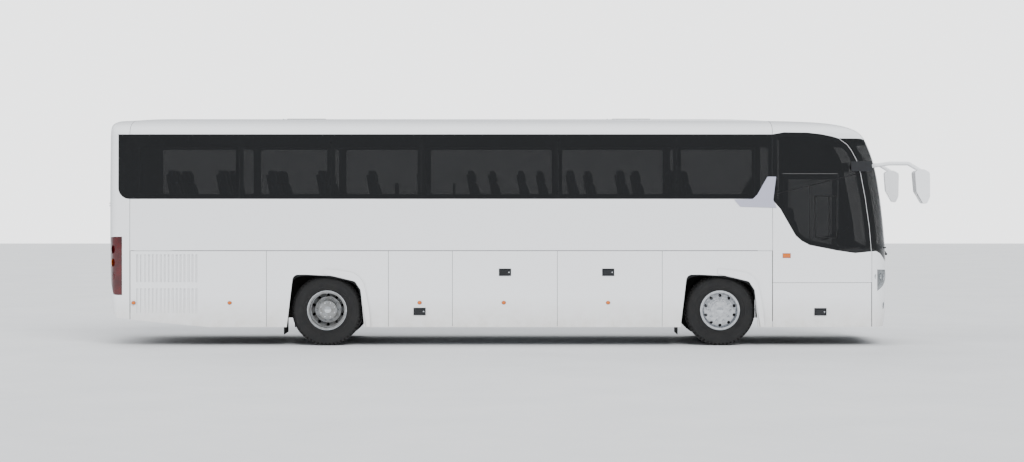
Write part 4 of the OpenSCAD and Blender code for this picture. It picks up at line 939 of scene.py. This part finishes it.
class Cabin(bpy.types.Operator):
    """Stuffs the passenger and driver's seats and trims floor, racks, dash and steering wheel."""

    bl_idname = "coach.cabin"
    bl_label = "Cabin"

    def execute(self, context):
        crown = context.scene.coach_sizes.seat_crown
        for side, rows in SEAT_ROWS.items():
            sign = -1 if side == "right" else 1
            soft, hard = bmesh.new(), bmesh.new()
            for x in rows:
                for y0 in (0.722, 0.269):
                    y = sorted((sign * (y0 + 0.006), sign * (y0 + 0.439)))
                    pad(soft, (x + 0.2, y[0], DECK + 0.375), (x + 0.638, y[1], DECK + 0.487), crown, front=(2, 1),
                        channels=(-0.35, 0.35))
                    lean = (DECK + 1.185, 0.18)
                    pad(soft, (x + 0.034, y[0] + 0.004, DECK + 0.44), (x + 0.15, y[1] - 0.004, DECK + 1.0), crown,
                        front=(0, 1), channels=(-0.3, 0.3), lean=lean)
                    pad(soft, (x + 0.036, y[0] + 0.07, DECK + 0.985), (x + 0.128, y[1] - 0.07, DECK + 1.192), crown,
                        cuts=5, front=(0, 1), lean=lean)
                    leant(hard, (x + 0.008, y[0] + 0.012, DECK + 0.4), (x + 0.05, y[1] - 0.012, DECK + 1.13), lean)
                    block(hard, (x + 0.21, y[0] + 0.02, DECK + 0.352), (x + 0.6, y[1] - 0.02, DECK + 0.385), 0.012, 3)
                # the rail under the seats, their leg and the arm rests
                block(hard, (x + 0.24, sign * 0.287, DECK + 0.302), (x + 0.3, sign * 1.147, DECK + 0.35), 0.008,
                      material=1)
                block(hard, (x + 0.245, sign * 0.687, DECK), (x + 0.415, sign * 0.747, DECK + 0.35), 0.01, material=1)
                for y0, y1 in ((0.269, 0.299), (0.718, 0.748), (1.16, 1.13)):
                    block(hard, (x + 0.16, sign * y0, DECK + 0.6), (x + 0.47, sign * y1, DECK + 0.64), 0.012, 3)
            bmesh.ops.recalc_face_normals(soft, faces=soft.faces)
            made = piece("seat_pads_" + side, soft, "body", "seat_fabric", "moquette", smooth=180)
            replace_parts(made, "seats_" + side)
            piece("seat_shells_" + side, hard, "body", "seat_fabric", "leatherette", "zinc", smooth=40)
        soft, hard = bmesh.new(), bmesh.new()
        x, y, low = 4.25, -0.7, CAB_FLOOR
        pad(soft, (x + 0.1, y - 0.24, low + 0.385), (x + 0.54, y + 0.24, low + 0.5), crown, front=(2, 1),
            channels=(-0.5, 0.5))
        lean = (low + 1.15, 0.17)
        pad(soft, (x - 0.1, y - 0.235, low + 0.44), (x + 0.025, y + 0.235, low + 0.95), crown, front=(0, 1),
            channels=(-0.4, 0.4), lean=lean)
        pad(soft, (x - 0.1, y - 0.14, low + 0.935), (x, y + 0.14, low + 1.145), crown, cuts=5,
            front=(0, 1), lean=lean)
        leant(hard, (x - 0.116, y - 0.22, low + 0.42), (x - 0.07, y + 0.22, low + 1.08), lean)
        block(hard, (x + 0.06, y - 0.2, low + 0.34), (x + 0.5, y + 0.2, low + 0.385), 0.012, 3)
        # the bellows under the driver's seat
        for i in range(6):
            z = low + 0.06 + i * 0.046
            fold = 0.01 * (i % 2)
            block(hard, (x + 0.09 + fold, y - 0.15 + fold, z), (x + 0.43 - fold, y + 0.15 - fold, z + 0.048), 0.012)
        block(hard, (x + 0.06, y - 0.18, low), (x + 0.46, y + 0.18, low + 0.06), 0.008, material=1)
        bmesh.ops.recalc_face_normals(soft, faces=soft.faces)
        made = piece("driver_pads", soft, "body", "seat_fabric", "moquette", smooth=180)
        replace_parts(made, "driver_seat")
        piece("driver_seat_shell", hard, "body", "seat_fabric", "leatherette", "zinc", smooth=40)
        refit("steering_wheel", "trim_black", "leatherette", smooth=50)
        refit("dashboard", "trim_grey", "dash", bevel=0.01, segments=3)
        bm = bmesh.new()
        for vert in block(bm, (5.13, -0.92, 1.38), (5.3, -0.48, 1.5), 0.03, 4):
            vert.co.x += (vert.co.z - 1.38) * 0.5
        for y in (-0.8, -0.6):
            dial = lathe(bm, [(0.0, 0.006), (0.062, 0.006), (0.068, 0.0), (0.0, 0.0)], (0, 0, 0), axis="X", steps=24,
                         closed=False, material=1)
            bmesh.ops.scale(bm, vec=(-1, 1, 0.72), verts=dial)
            bmesh.ops.translate(bm, vec=(5.155, y, 1.44), verts=dial)
        block(bm, (5.115, -0.36, 1.31), (5.15, -0.1, 1.4), 0.01, 3)
        bmesh.ops.recalc_face_normals(bm, faces=bm.faces)
        piece("instrument_binnacle", bm, "body", "trim_grey", "dash", "frit")
        refit("luggage_racks", "trim_grey", "liner", bevel=0.006)
        bm = bmesh.new()
        for side in SIDES:
            for z in (3.052, 3.168):
                tube(bm, [(x, 0.646 * side, z) for x in (-5.72, -2, 1, 3.76)], 0.009)
            for i in range(24):
                x = -5.6 + i * 0.4
                rod(bm, (x, 0.72 * side, 3.026), (x, 0.72 * side, 3.043), 0.028, sides=14, round_by=0.004)
        piece("rack_rails", bm, "body", "trim_grey", "zinc")
        dress("floor_deck", "vinyl")
        return {"FINISHED"}


class Chassis(bpy.types.Operator):
    """Waxes the frame, casts the axles and fits bellows and mudflaps."""

    bl_idname = "coach.chassis"
    bl_label = "Chassis"

    def execute(self, context):
        for name, key in (("underframe", "zinc"), ("chassis_rails", "chassis"), ("wheel_houses", "chassis"),
                          ("engine_block", "cast")):
            dress(name, key)
        for name in ("front_axle", "rear_axle", "knuckle_right", "knuckle_left"):
            refit(name, "cast", "cast", bevel=0.002)
        for name in ("tie_rod", "front_door_arm", "centre_door_arm", *("lift_arms_" + c for c in CORNERS)):
            refit(name, "steel", "zinc", bevel=0.002)
        bm = bmesh.new()
        for x, y, radius in [(x, s * 0.42, r) for s in SIDES for x, r in (
            (REAR_AXLE - 0.3, 0.105), (REAR_AXLE + 0.3, 0.105), (FRONT_AXLE - 0.17, 0.1), (FRONT_AXLE + 0.17, 0.1))]:
            fold = [(0.0, 0.445), (radius * 0.7, 0.445), (radius * 0.72, 0.47), (radius * 0.98, 0.505), (radius, 0.53),
                    (radius * 0.97, 0.56), (radius * 0.84, 0.575), (radius * 0.98, 0.592), (radius, 0.62),
                    (radius * 0.96, 0.66), (radius * 0.8, 0.69), (radius * 0.8, 0.7), (0.0, 0.7)]
            lathe(bm, [(r, z - 0.5) for r, z in fold], (x, y, 0.5), axis="Z", steps=32, closed=False)
        outward(bm)
        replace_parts(piece("air_bellows", bm, "body", "rubber", "rubber"), "air_springs")
        bm = bmesh.new()
        for side in SIDES:
            for x in (REAR_AXLE - 0.655, FRONT_AXLE - 0.655):
                block(bm, (x, side * 0.56, 0.17), (x + 0.012, side * 1.2, 0.62), 0.004)
                for i in range(5):
                    y = side * (0.64 + i * 0.12)
                    block(bm, (x + 0.01, y - 0.006, 0.2), (x + 0.016, y + 0.006, 0.58), 0.002, 1)
        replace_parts(piece("ribbed_mudflaps", bm, "body", "rubber", "rubber"), "mudflaps")
        return {"FINISHED"}


class Stage(bpy.types.Operator):
    """Lays the pale floor, sets the soft lights and aims the camera."""

    bl_idname = "coach.stage"
    bl_label = "Stage"

    def execute(self, context):
        bm = bmesh.new()
        bmesh.ops.create_grid(bm, x_segments=8, y_segments=8, size=60)
        mesh = bpy.data.meshes.new("studio_floor")
        bm.to_mesh(mesh)
        bm.free()
        mesh.materials.append(FINISH["floor"])
        floor = bpy.data.objects.new("studio_floor", mesh)
        context.scene.collection.objects.link(floor)
        world = bpy.data.worlds.new("studio")
        world.use_nodes = True
        back = next(n for n in world.node_tree.nodes if n.type == "BACKGROUND")
        back.inputs["Color"].default_value = srgb("#e9edf2")
        back.inputs["Strength"].default_value = 0.95
        seen = add(world.node_tree, "ShaderNodeBackground", {"Color": srgb("#fafbfc"), "Strength": 3.0})
        path = add(world.node_tree, "ShaderNodeLightPath")
        mixed = add(world.node_tree, "ShaderNodeMixShader",
                    {0: path.outputs["Is Camera Ray"], 1: back.outputs[0], 2: seen.outputs[0]})
        out = next(n for n in world.node_tree.nodes if n.type == "OUTPUT_WORLD")
        world.node_tree.links.new(mixed.outputs[0], out.inputs["Surface"])
        context.scene.world = world
        power = context.scene.coach_sizes.light_power
        # wide soft suns, so that the floor is lit evenly
        for name, place, spread, strength in (
            ("key", (5.0, -14.0, 13.0), 0.7, 1.0), ("fill", (-12.0, -6.0, 8.0), 0.9, 0.35),
            ("rim", (-4.0, 13.0, 11.0), 0.8, 0.45),
        ):
            lamp = bpy.data.lights.new(name, "SUN")
            lamp.angle, lamp.energy = spread, power * strength
            holder = bpy.data.objects.new(name, lamp)
            holder.visible_glossy = False
            holder.rotation_euler = (-Vector(place)).to_track_quat("-Z", "Y").to_euler()
            context.scene.collection.objects.link(holder)
        eye = bpy.data.cameras.new("view")
        eye.lens, eye.sensor_width, eye.shift_y = LENS, FILM, SHIFT
        eye.clip_end = 300
        camera = bpy.data.objects.new("view", eye)
        camera.location = EYE
        camera.rotation_euler = (math.pi / 2, 0, 0)
        context.scene.collection.objects.link(camera)
        context.scene.camera = camera
        return {"FINISHED"}


class CoachPanel(bpy.types.Panel):
    """Lists the coach's pieces in the sidebar."""

    bl_idname = "VIEW3D_PT_coach"
    bl_label = "Touring coach"
    bl_space_type = "VIEW_3D"
    bl_region_type = "UI"
    bl_category = "Coach"

    def draw(self, context):
        for name in CoachSizes.__annotations__:
            self.layout.prop(context.scene.coach_sizes, name)
        for maker in MAKERS:
            self.layout.operator(maker.bl_idname)


MAKERS = (Stage, BodyPanels, Glazing, Wheels, Lamps, SideFittings, MirrorsAndWipers, Cabin, Chassis)


def register():
    """Registers the sizes, the makers and the sidebar panel."""
    for kind in (CoachSizes, *MAKERS, CoachPanel):
        bpy.utils.register_class(kind)
    bpy.types.Scene.coach_sizes = bpy.props.PointerProperty(type=CoachSizes)


def unregister():
    """Takes them out again."""
    del bpy.types.Scene.coach_sizes
    for kind in (CoachPanel, *reversed(MAKERS), CoachSizes):
        bpy.utils.unregister_class(kind)


def main():
    """Makes every piece."""
    register()
    FINISH.update(palette(bpy.context.scene.coach_sizes))
    for maker in MAKERS:
        group, name = maker.bl_idname.split(".")
        getattr(getattr(bpy.ops, group), name)()


if __name__ == "__main__":
    main()
